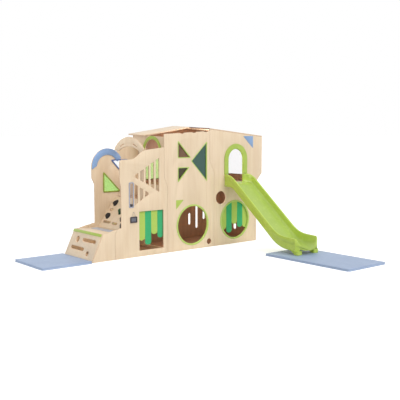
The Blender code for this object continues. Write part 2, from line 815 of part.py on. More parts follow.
def ramp_and_platform(wood, lime):
    """The ramp with its foothold slots, the nosing, the platform and its riser."""
    loops = [rectangle(FRONT, FAR, 0, PLATFORM_TOP)]
    loops.append(circle((FRONT + 0.572, 0.257), RAMP_HOLES[0], 24))
    loops.append(oblong((FRONT + 0.262, 0.266), 0.36, 0.05))
    loops.append(oblong((FRONT + 0.50, 0.142), 0.36, 0.05))
    loops.append(circle((FRONT + 0.195, 0.10), RAMP_HOLES[1], 24))
    leaning_board("ramp_panel", loops, RAMP_FOOT_X, 0, RAMP_ANGLE, wood)
    thick, tall = NOSING
    nosing = box(
        "ramp_nosing",
        (RAMP_FOOT_X - thick - GAP, FRONT, PLATFORM_TOP - tall),
        (RAMP_FOOT_X - GAP, FAR, PLATFORM_TOP),
        lime,
        bevel=0.002,
    )
    for vertex in nosing.data.vertices:
        vertex.co.x += vertex.co.z / math.tan(RAMP_ANGLE)
    start = RAMP_TOP_X + BOARD / math.sin(RAMP_ANGLE) + GAP
    end = CLIMB_START - GAP
    near, far = INNER_FRONT, INNER_FAR
    flat_board("platform_board", [rectangle(start, end, near, far)], PLATFORM_TOP, wood)
    under = PLATFORM_TOP - BOARD - GAP
    riser = end - RISER_BACK
    box("platform_riser", (riser - BOARD, near, 0), (riser, far, under), wood)


def climbing_wall(wood, stone, moss):
    """The leaning wall from the platform up to the climber's deck, with slots and holds."""
    loops = [rectangle(INNER_FRONT, INNER_FAR, PLATFORM_TOP, CLIMB_TOP)]
    loops.append(oblong((FRONT + 0.60, PLATFORM_TOP + 0.075), 0.20, 0.035))
    loops.append(oblong((FRONT + 0.385, PLATFORM_TOP + 0.07), 0.14, 0.035))
    loops.append(oblong((FRONT + 0.665, PLATFORM_TOP + 0.245), 0.10, 0.035))
    leaning_board("climbing_wall", loops, CLIMB_START, PLATFORM_TOP, CLIMB_ANGLE, wood)
    places = (
        (0.645, 0.343, stone),
        (0.655, 0.158, stone),
        (0.250, 0.150, stone),
        (0.160, 0.065, stone),
        (0.402, 0.240, moss),
    )
    for index, (y, rise, material) in enumerate(places):
        hold(f"climbing_hold_{index + 1}", FRONT + y, rise, material, index)


def hold(name, y, rise, material, turn):
    """A faceted rock hold that stands on the leaning wall."""
    mesh = bpy.data.meshes.new(name)
    shape = bmesh.new()
    bmesh.ops.create_cone(
        shape,
        cap_ends=True,
        segments=7,
        radius1=HOLD[0],
        radius2=HOLD[1],
        depth=HOLD[2],
    )
    shape.to_mesh(mesh)
    shape.free()
    obj = place(bpy.data.objects.new(name, mesh), material)
    add_bevel(obj, 0.005, 1)
    out = HOLD[2] / 2 + GAP
    x = CLIMB_START + rise / math.tan(CLIMB_ANGLE) - out * math.sin(CLIMB_ANGLE)
    z = PLATFORM_TOP + rise + out * math.cos(CLIMB_ANGLE)
    upright = Matrix.Rotation(-CLIMB_ANGLE, 4, "Y")
    spin = Matrix.Rotation(0.9 * turn, 4, "Z")
    obj.matrix_basis = Matrix.Translation((x, y, z)) @ upright @ spin


def climber_inside(wood, brown):
    """The climber's deck with its battens, the floor below it, and the arched portal."""
    start = CLIMB_END + BOARD / math.sin(CLIMB_ANGLE) + GAP
    end = LEFT - GAP
    near, far = INNER_FRONT, INNER_FAR
    flat_board("climber_deck", [rectangle(start, end, near, far)], CLIMB_TOP, brown)
    top = CLIMB_TOP - BOARD - GAP
    low = top - BATTEN_HEIGHT
    box("climber_batten", (end - BATTEN, near, low), (end, far, top), wood)
    floor_start = CLIMB_START - RISER_BACK
    flat_board("climber_floor", [rectangle(floor_start, end, near, far)], BOARD, brown)

    # The arch rests on both side panels' tops, and its near leg goes down inside to the wall
    middle = (FRONT + FAR) / 2
    inner_rise, inner_half = PORTAL_INNER
    reach = PORTAL_X - BOARD / 2 - HEAD_X
    far_rest = HEAD_Z + math.sqrt(ARCH_RADIUS**2 - reach**2) + GAP
    near_rest = DECK_TOP + NEAR_RISE + GAP
    outer_spring, outer_rise = near_rest + PORTAL_OUTER[0], PORTAL_OUTER[1]
    outline = [(FRONT, near_rest), (near, near_rest), (near, CLIMB_TOP + GAP)]
    outline += [(middle - inner_half, CLIMB_TOP + GAP)]
    outline += segment_arch(middle, inner_half, far_rest, inner_rise, 12)
    outline += [(FAR, far_rest)]
    outline += list(reversed(segment_arch(middle, (FAR - FRONT) / 2, outer_spring, outer_rise, 16)))
    loops = [outline]
    for side in (-1, 1):
        centre = (middle + side * PORTAL_SLOT[0], DECK_TOP + PORTAL_SLOT[1])
        loops.append(turned_slot(centre, 0.11, 0.018, -side * 20))
    side_board("portal_arch", loops, PORTAL_X - BOARD / 2, wood)


def segment_arch(middle, half, spring, rise, steps):
    """Points of a shallow arch from its left end over the top to its right end."""
    radius = (half * half + rise * rise) / (2 * rise)
    centre = spring + rise - radius
    reach = math.degrees(math.asin(half / radius))
    return arc((middle, centre), radius, 90 + reach, 90 - reach, steps)


def turned_slot(centre, length, width, degrees):
    """A lying slot, turned about its middle."""
    angle = math.radians(degrees)
    made = []
    for x, y in oblong((0, 0), length, width):
        made.append(
            (
                centre[0] + x * math.cos(angle) - y * math.sin(angle),
                centre[1] + x * math.sin(angle) + y * math.cos(angle),
            )
        )
    return made


def slider(steel, stone):
    """A rod in the near panel's tall slot, and a bead that runs on the rod."""
    left, right, low, high = slider_slot()
    centre_x = (left + right) / 2
    centre_y = FRONT + BOARD / 2
    rod = 0.004
    mesh = bpy.data.meshes.new("slider_rod")
    shape = bmesh.new()
    depth = high - low - 2 * GAP
    bmesh.ops.create_cone(
        shape, cap_ends=True, segments=12, radius1=rod, radius2=rod, depth=depth
    )
    shape.to_mesh(mesh)
    shape.free()
    rod_obj = place(bpy.data.objects.new("slider_rod", mesh), steel)
    rod_obj.location = (centre_x, centre_y, (low + high) / 2)
    bore = rod + 0.0006
    radius, half = 0.0255, 0.020
    profile = [
        (bore, half),
        (radius * 0.62, half),
        (radius * 0.94, half * 0.55),
        (radius, 0),
        (radius * 0.94, -half * 0.55),
        (radius * 0.62, -half),
        (bore, -half),
    ]
    bead = turned("slider_bead", profile, 20, stone)
    bead.location = (centre_x, centre_y, low + half + GAP)


def slate(dark, grey, steel):
    """A small framed slate that hangs by a wire bail from a peg in the near panel."""
    peg_x, peg_z = LEFT - 0.616, DECK_TOP - 0.35
    clear = 0.003
    peg = 0.004
    mesh = bpy.data.meshes.new("slate_peg")
    shape = bmesh.new()
    bmesh.ops.create_cone(shape, cap_ends=True, segments=12, radius1=peg, radius2=peg, depth=0.02)
    shape.to_mesh(mesh)
    shape.free()
    peg_obj = place(bpy.data.objects.new("slate_peg", mesh), steel)
    peg_obj.rotation_euler = (math.radians(90), 0, 0)
    peg_obj.location = (peg_x, FRONT - GAP - 0.01, peg_z)
    half_w, high, low = 0.058, -0.060, -0.147
    ring, wire, root = peg + 0.0004, 0.003, 0.030
    frame = corner((-half_w, high), (-half_w, low), (half_w, low), 0.014, 3)
    frame += corner((-half_w, low), (half_w, low), (half_w, high), 0.014, 3)
    frame += corner((half_w, low), (half_w, high), (root, high), 0.014, 3)
    frame += [(root, high)]
    frame += arc((0, 0), ring + wire, 20, 160, 8)
    frame += [(-root, high)]
    frame += corner((-root, high), (-half_w, high), (-half_w, low), 0.014, 3)
    bail = [(-root + 2 * wire, high + wire), (root - 2 * wire, high + wire)]
    bail += arc((0, 0), ring, 20, 160, 8)
    hole = rectangle(-half_w + 0.014, half_w - 0.014, low + 0.014, high - 0.014)
    low_y = FRONT - clear - 0.010
    loops = [frame, bail, hole]
    front_board("slate_frame", loops, low_y, dark, 0.010, at=(peg_x, peg_z))
    board = inset(hole, GAP)
    front_board("slate_board", [board], low_y + 0.004, grey, 0.004, at=(peg_x, peg_z))


def slide_path():
    """The middle line of the slide's bed as (distance out, height), top to end."""
    line = [
        (0, DECK_TOP),
        (KNEE_OUT, DECK_TOP - KNEE_DROP),
        (RUNOUT_OUT, RUNOUT_HEIGHT),
        (SLIDE_RUN, SLIDE_END),
    ]
    points = [line[0]]
    points += corner(line[0], line[1], line[2], 0.30, 6)
    start, end = points[-1], corner(line[1], line[2], line[3], 0.62, 8)
    for step in range(1, 6):
        t = step / 6
        points.append((start[0] + (end[0][0] - start[0]) * t, start[1] + (end[0][1] - start[1]) * t))
    points += end
    for t in (0.35, 0.6, 0.8, 0.92, 1.0):
        points.append(
            (end[-1][0] + (line[3][0] - end[-1][0]) * t, end[-1][1] + (line[3][1] - end[-1][1]) * t)
        )
    return points


def slide_ring(out, bed):
    """The closed section of the slide at one distance out, as points in the frame."""
    half = SLIDE_WIDTH / 2
    nose = min(1.0, (SLIDE_RUN - out) / NOSE)
    late = max(0.0, (out - RUNOUT_OUT) / (SLIDE_RUN - RUNOUT_OUT))
    rail = SLIDE_RAIL + END_RISE * late - NOSE_DROP * (1 - math.sin(nose * math.pi / 2))
    hood = max(0.0, 1 - out / KNEE_OUT)
    near = hood * hood * (3 - 2 * hood)
    wall = SLIDE_WALL + (half - DOOR_RADIUS - SLIDE_WALL) * near
    under = bed - SLIDE_SKIRT - 0.022 * hood + END_THIN * late
    top = bed + rail + SLIDE_HOOD * hood
    lip = min(0.010, rail * 0.3)
    right = [
        (half - 0.012, under),
        (half, under + 0.012),
        (half, top - lip),
        (half - 0.006, top),
        (half - wall + 0.006, top),
        (half - wall, top - lip),
        (half - wall - 0.010 + 0.009 * near - 0.025 * late, bed + rail * (0.30 + 0.05 * late)),
        (half - wall - 0.040 + 0.036 * near - 0.085 * late, bed),
    ]
    points = []
    for x, z in right + [(-x, z) for x, z in reversed(right)]:
        bow = 1 - math.sqrt(1 - (x / (half + 0.012)) ** 2)
        y = FRONT - GAP - out + NOSE_BOW * bow * late * late
        points.append((DOOR_X + x, y, z))
    return points


def slide(lime):
    """One moulded chute with side rails, its foot joined to it under the run-out."""
    mesh = bpy.data.meshes.new("slide")
    shape = bmesh.new()
    rings = []
    for out, bed in slide_path():
        rings.append([shape.verts.new(point) for point in slide_ring(out, bed)])
    for first, second in zip(rings, rings[1:]):
        for index in range(len(first)):
            after = (index + 1) % len(first)
            shape.faces.new((first[index], first[after], second[after], second[index]))
    shape.faces.new(rings[0])
    shape.faces.new(rings[-1])
    bmesh.ops.recalc_face_normals(shape, faces=shape.faces)
    shape.to_mesh(mesh)
    shape.free()
    obj = place(bpy.data.objects.new("slide", mesh), lime)
    union = obj.modifiers.new("legs", "BOOLEAN")
    union.operation = "UNION"
    union.object = slide_legs()
    return obj


def slide_legs():
    """Two short legs under the run-out, their inner faces leaning: a form for the slide's union."""
    mesh = bpy.data.meshes.new("slide_leg_forms")
    shape = bmesh.new()
    wide, deep = LEG
    front = FRONT - LEG_OUT
    for side in (-1, 1):
        edge = DOOR_X + side * (SLIDE_WIDTH / 2 - LEG_INSET)
        low_x, high_x = sorted((edge, edge - side * wide))
        corners = []
        for height, back in ((MAT + GAP, front + deep), (SLIDE_END - LEG_SINK, front + deep + LEG_LEAN)):
            for x, y in ((low_x, front), (high_x, front), (high_x, back), (low_x, back)):
                corners.append(shape.verts.new((x, y, height)))
        shape.faces.new(corners[:4])
        shape.faces.new(corners[4:])
        for index in range(4):
            after = (index + 1) % 4
            shape.faces.new((corners[index], corners[after], corners[after + 4], corners[index + 4]))
    bmesh.ops.recalc_face_normals(shape, faces=shape.faces)
    shape.to_mesh(mesh)
    shape.free()
    forms = bpy.data.objects.new("slide_leg_forms", mesh)
    cutters.objects.link(forms)
    forms.hide_render = True
    forms.display_type = "WIRE"
    return forms


def mat(name, low, high, blue):
    """A foam mat: a flat base, drawn-in sides and a slight crown."""
    mesh = bpy.data.meshes.new(name)
    shape = bmesh.new()
    bmesh.ops.create_grid(shape, x_segments=8, y_segments=8, size=0.5)
    crown = 0.002
    for vertex in shape.verts:
        u, v = vertex.co.x * 2, vertex.co.y * 2
        bulge = (1 - u * u) * (1 - v * v)
        vertex.co.z = MAT - crown + crown * bulge
        vertex.co.x = (low[0] + high[0]) / 2 + u * ((high[0] - low[0]) / 2 - MAT_EDGE / 2)
        vertex.co.y = (low[1] + high[1]) / 2 + v * ((high[1] - low[1]) / 2 - MAT_EDGE / 2)
    rim = [edge for edge in shape.edges if edge.is_boundary]
    for height, out in ((MAT * 0.72, MAT_EDGE / 2), (MAT * 0.28, 0), (0, 0)):
        made = bmesh.ops.extrude_edge_only(shape, edges=rim)["geom"]
        rim = [item for item in made if isinstance(item, bmesh.types.BMEdge)]
        for vertex in {vertex for edge in rim for vertex in edge.verts}:
            vertex.co.z = height
            if out:
                vertex.co.x += math.copysign(out, vertex.co.x - (low[0] + high[0]) / 2)
                vertex.co.y += math.copysign(out, vertex.co.y - (low[1] + high[1]) / 2)
    bmesh.ops.contextual_create(shape, geom=rim)
    bmesh.ops.recalc_face_normals(shape, faces=shape.faces)
    shape.to_mesh(mesh)
    shape.free()
    return place(bpy.data.objects.new(name, mesh), blue)


def mats(blue):
    """The mat at the foot of the ramp and the mat under the end of the slide."""
    middle = (FRONT + FAR) / 2
    right = RAMP_FOOT_X - SEAM / 10
    length, width = LEFT_MAT
    mat("ramp_mat", (right - length, middle - width / 2), (right, middle + width / 2), blue)
    high_y = FRONT - RIGHT_MAT_OUT
    high_x = RIGHT - RIGHT_MAT_IN
    width, length = RIGHT_MAT
    mat("slide_mat", (high_x - width, high_y - length), (high_x, high_y), blue)


for existing in list(bpy.data.objects):
    bpy.data.objects.remove(existing)

castle = collection("play_castle")
cutters = collection("cutters")
cutters.hide_render = True
origin = bpy.data.objects.new("castle_origin", None)
castle.objects.link(origin)

wood_finish = finish("birch_plywood", WOOD, 0.55)
brown_finish = finish("brown_laminate", WOOD_INSIDE, 0.6)
lime_finish = finish("lime_plastic", LIME, 0.35)
pale_finish = finish("pale_lime_trim", PALE_LIME, 0.4)
emerald_finish = finish("emerald_strip", EMERALD, 0.7)
light_finish = finish("light_strip", PALE_LIME, 0.7)
blue_finish = finish("blue_laminate", BLUE, 0.5)
mat_finish = finish("mat_vinyl", MAT_BLUE, 0.6)
teal_finish = finish("teal_acrylic", TEAL, 0.1)
lime_pane = finish("lime_acrylic", PALE_LIME, 0.1)
clear_pane = finish("clear_acrylic", (0.85, 0.87, 0.88), 0.05)
bronze_pane = finish("bronze_acrylic", (0.12, 0.07, 0.05), 0.1)
olive_pane = finish("olive_acrylic", (0.07, 0.09, 0.02), 0.1)
stone_finish = finish("stone_hold", STONE, 0.6)
moss_finish = finish("green_hold", (0.01, 0.06, 0.02), 0.6)
steel_finish = finish("steel", (0.6, 0.6, 0.6), 0.3, 1.0)
dark_finish = finish("dark_frame", (0.03, 0.02, 0.035), 0.5)
slate_finish = finish("slate", SLATE, 0.8)

tower_front(wood_finish)
tower_back(wood_finish)
tower_sides(wood_finish)
tower_floors(wood_finish, brown_finish)
roof(wood_finish)
tower_trim(
    lime_finish,
    pale_finish,
    {
        "upper": bronze_pane,
        "lower": olive_pane,
        "right": teal_finish,
        "back": lime_pane,
        "side": clear_pane,
    },
)
curtains(light_finish, emerald_finish)
climber_near(wood_finish)
climber_far(wood_finish)
far_trim(blue_finish, {"green": lime_pane, "blue": clear_pane})
climber_sides(wood_finish)
ramp_and_platform(wood_finish, lime_finish)
climbing_wall(wood_finish, stone_finish, moss_finish)
climber_inside(wood_finish, brown_finish)
slider(steel_finish, stone_finish)
slate(dark_finish, slate_finish, steel_finish)
slide(lime_finish)
mats(mat_finish)
bpy.context.view_layer.update()
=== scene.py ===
import math
import random

import bpy
from mathutils import Matrix, Vector, noise


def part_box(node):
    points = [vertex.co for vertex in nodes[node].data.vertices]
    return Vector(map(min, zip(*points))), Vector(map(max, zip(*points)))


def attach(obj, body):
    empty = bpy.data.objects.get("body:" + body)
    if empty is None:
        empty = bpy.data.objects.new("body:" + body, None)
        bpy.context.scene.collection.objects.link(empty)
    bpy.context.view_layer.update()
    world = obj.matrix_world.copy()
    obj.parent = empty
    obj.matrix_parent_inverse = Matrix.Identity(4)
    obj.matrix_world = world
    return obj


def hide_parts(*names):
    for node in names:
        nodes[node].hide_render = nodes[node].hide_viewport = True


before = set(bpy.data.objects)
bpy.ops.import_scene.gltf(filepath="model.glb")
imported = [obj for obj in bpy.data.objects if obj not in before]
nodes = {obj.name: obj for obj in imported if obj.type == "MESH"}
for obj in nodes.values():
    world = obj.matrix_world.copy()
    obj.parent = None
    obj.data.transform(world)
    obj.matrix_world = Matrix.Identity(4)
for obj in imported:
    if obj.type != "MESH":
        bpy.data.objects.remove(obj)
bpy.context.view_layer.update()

# Sizes, in metres, in the frame's own coordinates

BOARD = 0.018
LEFT, RIGHT = -0.92, 0.92
FRONT, FAR = -0.45, 0.32
DECK = 1.0
PLATFORM, RAMP_RUN = 0.385, 0.18
CLIMB_START, CLIMB_RUN, CLIMB_RISE = -1.667, 0.32, 0.435
RAMP_ANGLE = math.atan2(PLATFORM, RAMP_RUN)
CLIMB_ANGLE = math.atan2(CLIMB_RISE, CLIMB_RUN)
RAMP_NORMAL = Vector((-math.sin(RAMP_ANGLE), 0, math.cos(RAMP_ANGLE)))
CLIMB_NORMAL = Vector((-math.sin(CLIMB_ANGLE), 0, math.cos(CLIMB_ANGLE)))
DOOR_X = 0.449
PEG = Vector((-1.536, FRONT, 0.65))
X, Y, Z = Vector((1, 0, 0)), Vector((0, 1, 0)), Vector((0, 0, 1))
# The hair's breadth that a trim stands off the board behind it
SKIN = 0.0004
# Points nearer than this are merged, and faces that bend less than this are joined
MERGE_WIDE, MERGE_FINE = 0.00002, 0.00001
FLAT = math.radians(0.4)


def paint(red, green, blue):
    """A colour given as it shows on screen, 0 to 255, as the linear value that shaders take."""
    values = []
    for value in (red, green, blue):
        part = value / 255
        values.append(part / 12.92 if part <= 0.04045 else ((part + 0.055) / 1.055) ** 2.4)
    return (*values, 1.0)


def shades(base, dark, light):
    """The three colours that most finishes are mottled from, given as they show on screen."""
    return {"Base": paint(*base), "Dark": paint(*dark), "Light": paint(*light)}


# Shader building blocks

def node(tree, kind, inputs=None, **settings):
    made = tree.nodes.new(kind)
    for key, value in settings.items():
        setattr(made, key, value)
    for key, value in (inputs or {}).items():
        if isinstance(value, bpy.types.NodeSocket):
            tree.links.new(value, made.inputs[key])
        else:
            made.inputs[key].default_value = value
    return made


def clouds(vector, scale, detail=3.0, distortion=0.0):
    sockets = {"Vector": vector, "Scale": scale, "Detail": detail}
    sockets.update({"Distortion": distortion, "Roughness": 0.55})
    return node(vector.id_data, "ShaderNodeTexNoise", sockets).outputs[0]


def stretched(vector, factors):
    sockets = {0: vector, 1: factors}
    return node(vector.id_data, "ShaderNodeVectorMath", sockets, operation="MULTIPLY").outputs[0]


def fibres(vector, squeeze, scale, detail=3.0, distortion=0.0):
    """Noise drawn out along Z, the longer the smaller squeeze is."""
    return clouds(stretched(vector, (1, 1, squeeze)), scale, detail, distortion)


def cells(vector, scale, randomness=1.0):
    sockets = {"Vector": vector, "Scale": scale, "Randomness": randomness}
    return node(vector.id_data, "ShaderNodeTexVoronoi", sockets).outputs["Distance"]


def calc(operation, first, second=0.0):
    sockets = {0: first, 1: second}
    return node(first.id_data, "ShaderNodeMath", sockets, operation=operation).outputs[0]


def plus(first, second):
    return calc("ADD", first, second)


def minus(first, second):
    return calc("SUBTRACT", first, second)


def times(first, second):
    return calc("MULTIPLY", first, second)


def between(value, low, high, start=0.0, end=1.0):
    sockets = {"Value": value, "From Min": low, "From Max": high, "To Min": start, "To Max": end}
    smooth = {"interpolation_type": "SMOOTHSTEP"}
    return node(value.id_data, "ShaderNodeMapRange", sockets, **smooth).outputs[0]


def blend_colours(factor, first, second):
    tree = factor.id_data
    made = node(tree, "ShaderNodeMix", data_type="RGBA", clamp_factor=True)
    # Counted from 0, this node's colour inputs are the sixth and seventh
    for index, value in ((0, factor), (6, first), (7, second)):
        if isinstance(value, bpy.types.NodeSocket):
            tree.links.new(value, made.inputs[index])
        else:
            made.inputs[index].default_value = value
    return made.outputs[2]


def mottled(plain, other, value, low, high, share=1.0):
    """The plain colour, turning to share of the other while value climbs from low to high."""
    return blend_colours(between(value, low, high, 0, share), plain, other)


def effect_group(name, colours=("Base", "Dark", "Light"), floats=()):
    """Starts a node group and returns its inputs: a vector, then the named colours and floats."""
    tree = bpy.data.node_groups.new(name, "ShaderNodeTree")

    def add(label, way, kind):
        return tree.interface.new_socket(name=label, in_out=way, socket_type=f"NodeSocket{kind}")

    add("Vector", "INPUT", "Vector")
    for label in colours:
        add(label, "INPUT", "Color")
    for label, value in floats:
        add(label, "INPUT", "Float").default_value = value
    add("Color", "OUTPUT", "Color")
    add("Roughness", "OUTPUT", "Float")
    add("Height", "OUTPUT", "Float")
    return tuple(tree.nodes.new("NodeGroupInput").outputs)[:-1]


def put_out(colour, roughness, height):
    sockets = {"Color": colour, "Roughness": roughness, "Height": height}
    node(colour.id_data, "NodeGroupOutput", sockets)


# Effects, each a group that several finishes share

def birch_grain():
    """Rotary-cut birch with its grain along Z: broad figure, fine fibres and short pores."""
    colours, floats = ("Pale", "Tan", "Streak"), (("Strength", 0.5),)
    vector, pale, tan, streak, strength = effect_group("birch_grain", colours, floats)
    figure = fibres(vector, 0.10, 7.0, 3.0, 1.6)
    fibre = fibres(vector, 0.018, 120.0, 5.0, 0.3)
    pores = fibres(vector, 0.07, 620.0, 2.0)
    tone = clouds(vector, 1.7, 2.0)
    sockets = {"Vector": stretched(vector, (1, 1, 0.16)), "Scale": 5.0}
    sockets.update({"Distortion": 7.0, "Detail": 2.5, "Detail Scale": 0.7})
    rings = node(vector.id_data, "ShaderNodeTexWave", sockets, wave_type="BANDS").outputs[1]
    broad = plus(between(figure, 0.35, 0.68, 0, 0.55), times(tone, 0.3))
    colour = blend_colours(broad, pale, tan)
    colour = blend_colours(times(between(rings, 0.72, 0.98), times(strength, 0.42)), colour, tan)
    colour = blend_colours(times(between(fibre, 0.5, 0.78), strength), colour, streak)
    speck = times(between(pores, 0.66, 0.8), times(strength, 0.6))
    colour = blend_colours(speck, colour, streak)
    height = minus(times(fibre, 0.7), times(speck, 0.6))
    put_out(colour, between(fibre, 0.3, 0.8, 0.40, 0.56), height)


def ply_layers():
    """The cut edge of plywood: pale and dark layers with thin glue lines between them."""
    colours, floats = ("Pale", "Tan", "Glue"), (("Depth", 0.0),)
    vector, pale, tan, glue, depth = effect_group("ply_layers", colours, floats)
    layer_thickness = 0.002
    layer = calc("DIVIDE", depth, layer_thickness)
    odd = calc("GREATER_THAN", calc("PINGPONG", layer, 1.0), 0.5)
    wobble = clouds(vector, 240.0, 3.0)
    colour = blend_colours(plus(times(odd, 0.55), times(wobble, 0.35)), pale, tan)
    from_line = minus(calc("FRACT", plus(layer, 0.5)), 0.5)
    line = between(calc("ABSOLUTE", from_line), 0.0, 0.12, 0.5, 0.0)
    colour = blend_colours(line, colour, glue)
    put_out(colour, between(wobble, 0.2, 0.8, 0.5, 0.7), minus(wobble, times(line, 0.8)))


def laminate_skin():
    """A printed laminate: soft lengthways figure and a fine leather-like press."""
    vector, base, dark, light = effect_group("laminate_skin")
    figure = fibres(vector, 0.08, 16.0, 4.0, 0.8)
    fine = fibres(vector, 0.05, 210.0, 3.0)
    press = clouds(vector, 900.0, 2.0)
    colour = mottled(base, dark, figure, 0.38, 0.7, 0.55)
    colour = mottled(colour, light, fine, 0.55, 0.8, 0.35)
    height = plus(times(fine, 0.5), times(press, 0.5))
    put_out(colour, between(press, 0.3, 0.7, 0.46, 0.6), height)


def moulded_skin():
    """Moulded plastic: slow colour drift, faint rubbed patches and an orange-peel surface."""
    vector, base, dark, light, rub = effect_group("moulded_skin", floats=(("Rub", 0.4),))
    drift = clouds(vector, 3.2, 3.0, 0.6)
    patch = clouds(vector, 17.0, 4.0, 0.4)
    scratch = clouds(stretched(vector, (1, 0.05, 0.05)), 330.0, 2.0)
    peel = clouds(vector, 420.0, 2.0)
    colour = mottled(base, dark, drift, 0.3, 0.72, 0.8)
    colour = blend_colours(times(between(patch, 0.5, 0.8), rub), colour, light)
    marks = times(between(scratch, 0.66, 0.78), rub)
    colour = blend_colours(times(marks, 0.5), colour, light)
    rough = plus(between(patch, 0.25, 0.75, 0.30, 0.44), times(marks, 0.12))
    put_out(colour, rough, minus(peel, times(marks, 0.5)))


def felt_fibres():
    """Pressed felt: matted fibres in two sizes over a slightly uneven dye."""
    vector, base, dark, light = effect_group("felt_fibres")
    matting = clouds(vector, 90.0, 4.0, 2.0)
    fibre = fibres(vector, 0.35, 750.0, 4.0, 2.5)
    dye = clouds(vector, 9.0, 2.0)
    colour = mottled(base, dark, matting, 0.35, 0.7, 0.45)
    colour = mottled(colour, light, fibre, 0.52, 0.75, 0.5)
    colour = mottled(colour, dark, dye, 0.4, 0.8, 0.2)
    put_out(colour, between(fibre, 0.3, 0.7, 0.82, 0.96), plus(fibre, times(matting, 0.8)))


def vinyl_grain():
    """Coated cloth: pebbled grain, a hint of the weave below and faint scuffs."""
    vector, base, dark, light = effect_group("vinyl_grain")
    pebble = cells(vector, 420.0, 0.9)
    drift = clouds(vector, 4.0, 3.0, 0.5)
    scuff = clouds(stretched(vector, (1, 0.25, 1)), 38.0, 5.0, 1.2)
    colour = mottled(base, dark, drift, 0.3, 0.75, 0.6)
    colour = mottled(colour, light, scuff, 0.6, 0.8, 0.45)
    colour = mottled(colour, dark, pebble, 0.35, 0.75, 0.22)
    put_out(colour, between(scuff, 0.4, 0.8, 0.46, 0.62), times(pebble, -1.0))


def cast_stone():
    """Cast resin with a sandy face: chips, specks and a rough bump."""
    vector, base, dark, light = effect_group("cast_stone")
    sand = clouds(vector, 520.0, 5.0)
    chips = cells(vector, 150.0)
    colour = mottled(base, dark, sand, 0.35, 0.7)
    colour = blend_colours(between(chips, 0.05, 0.35, 0.55, 0), colour, light)
    put_out(colour, between(sand, 0.3, 0.7, 0.62, 0.85), plus(sand, times(chips, 0.7)))


def brushed_metal():
    """Bare metal brushed along Z, with faint smears."""
    vector, base, dark, light = effect_group("brushed_metal")
    lines = fibres(vector, 0.04, 900.0, 3.0)
    smear = clouds(vector, 60.0, 3.0)
    colour = mottled(base, dark, lines, 0.4, 0.7)
    colour = mottled(colour, light, smear, 0.5, 0.8, 0.5)
    put_out(colour, between(lines, 0.3, 0.7, 0.22, 0.4), lines)


birch_grain()
ply_layers()
laminate_skin()
moulded_skin()
felt_fibres()
vinyl_grain()
cast_stone()
brushed_metal()


# Kinds of material

def principled(name):
    made = bpy.data.materials.new(name)
    made.use_nodes = True
    return made, made.node_tree, made.node_tree.nodes["Principled BSDF"]


def effect_node(material):
    return next(item for item in material.node_tree.nodes if item.type == "GROUP")


def placed(tree, shift, turn=(0, 0, 0)):
    """Object coordinates, shifted and turned."""
    where = node(tree, "ShaderNodeTexCoord").outputs["Object"]
    sockets = {"Vector": where, "Location": shift, "Rotation": turn}
    return node(tree, "ShaderNodeMapping", sockets).outputs[0]


def surface(name, effect, colours, bump, turn=(0, 0, 0), shift=(0, 0, 0), settings=None, **extra):
    """A material whose colour, roughness and bump come from one effect group.

    bump is (strength, distance), settings go to the shader and extra to the group.
    """
    made, tree, shader = principled(name)
    for key, value in (settings or {}).items():
        shader.inputs[key].default_value = value
    look = node(tree, "ShaderNodeGroup", node_tree=bpy.data.node_groups[effect])
    tree.links.new(placed(tree, shift, turn), look.inputs["Vector"])
    for key, value in {**colours, **extra}.items():
        look.inputs[key].default_value = value
    strength, distance = bump
    sockets = {"Height": look.outputs["Height"], "Strength": strength, "Distance": distance}
    raised = node(tree, "ShaderNodeBump", sockets)
    tree.links.new(look.outputs["Color"], shader.inputs["Base Color"])
    tree.links.new(look.outputs["Roughness"], shader.inputs["Roughness"])
    tree.links.new(raised.outputs[0], shader.inputs["Normal"])
    made.diffuse_color = colours.get("Base", colours.get("Pale"))
    return made


def edge_surface(name, normal, low):
    """The ply edge of one board, its layers counted from low along the board's normal."""
    made = surface(name, "ply_layers", PLY, bump=(0.25, 0.0003))
    tree = made.node_tree
    where = node(tree, "ShaderNodeTexCoord").outputs["Object"]
    along = node(tree, "ShaderNodeVectorMath", {0: where, 1: normal}, operation="DOT_PRODUCT")
    depth = minus(along.outputs["Value"], low)
    tree.links.new(depth, effect_node(made).inputs["Depth"])
    return made


# Turns that bring a board's grain direction onto Z
GRAIN = {"z": (0, 0, 0), "y": (math.radians(90), 0, 0), "x": (0, math.radians(90), 0)}


def wood(name, seed, grain="z"):
    bump, shift = (0.18, 0.0003), (seed * 1.37, seed * 0.71, seed * 2.13)
    coat = {"Coat Weight": 0.12, "Coat Roughness": 0.3}
    return surface(name, "birch_grain", BIRCH, bump, GRAIN[grain], shift, coat, Strength=0.36)


def laminate(name, colours, grain="z", seed=0.0):
    shift = (seed, seed * 0.7, seed * 1.9)
    return surface(name, "laminate_skin", colours, (0.15, 0.0002), GRAIN[grain], shift)


def plastic(name, base, dark, light, rub, coat=0.0):
    colours = shades(base, dark, light)
    coats = {"Coat Weight": coat, "Coat Roughness": 0.2}
    return surface(name, "moulded_skin", colours, (0.12, 0.0003), settings=coats, Rub=rub)


def paint_bed_shading(material, colours):
    """Turns a material to other colours where the piece's point attribute "bed" is 1: painted
    shading, giving the slide's upward-facing bed its own tone for how light falls on it.
    """
    tree = material.node_tree
    look = effect_node(material)
    share = node(tree, "ShaderNodeAttribute", attribute_name="bed").outputs["Fac"]
    for label, colour in colours.items():
        plain = tuple(look.inputs[label].default_value)
        tree.links.new(blend_colours(share, plain, colour), look.inputs[label])


def felt(name, base, dark, light):
    colours = shades(base, dark, light)
    sheen = {"Sheen Weight": 0.25, "Sheen Roughness": 0.5, "Specular IOR Level": 0.2}
    return surface(name, "felt_fibres", colours, (0.6, 0.0006), settings=sheen)


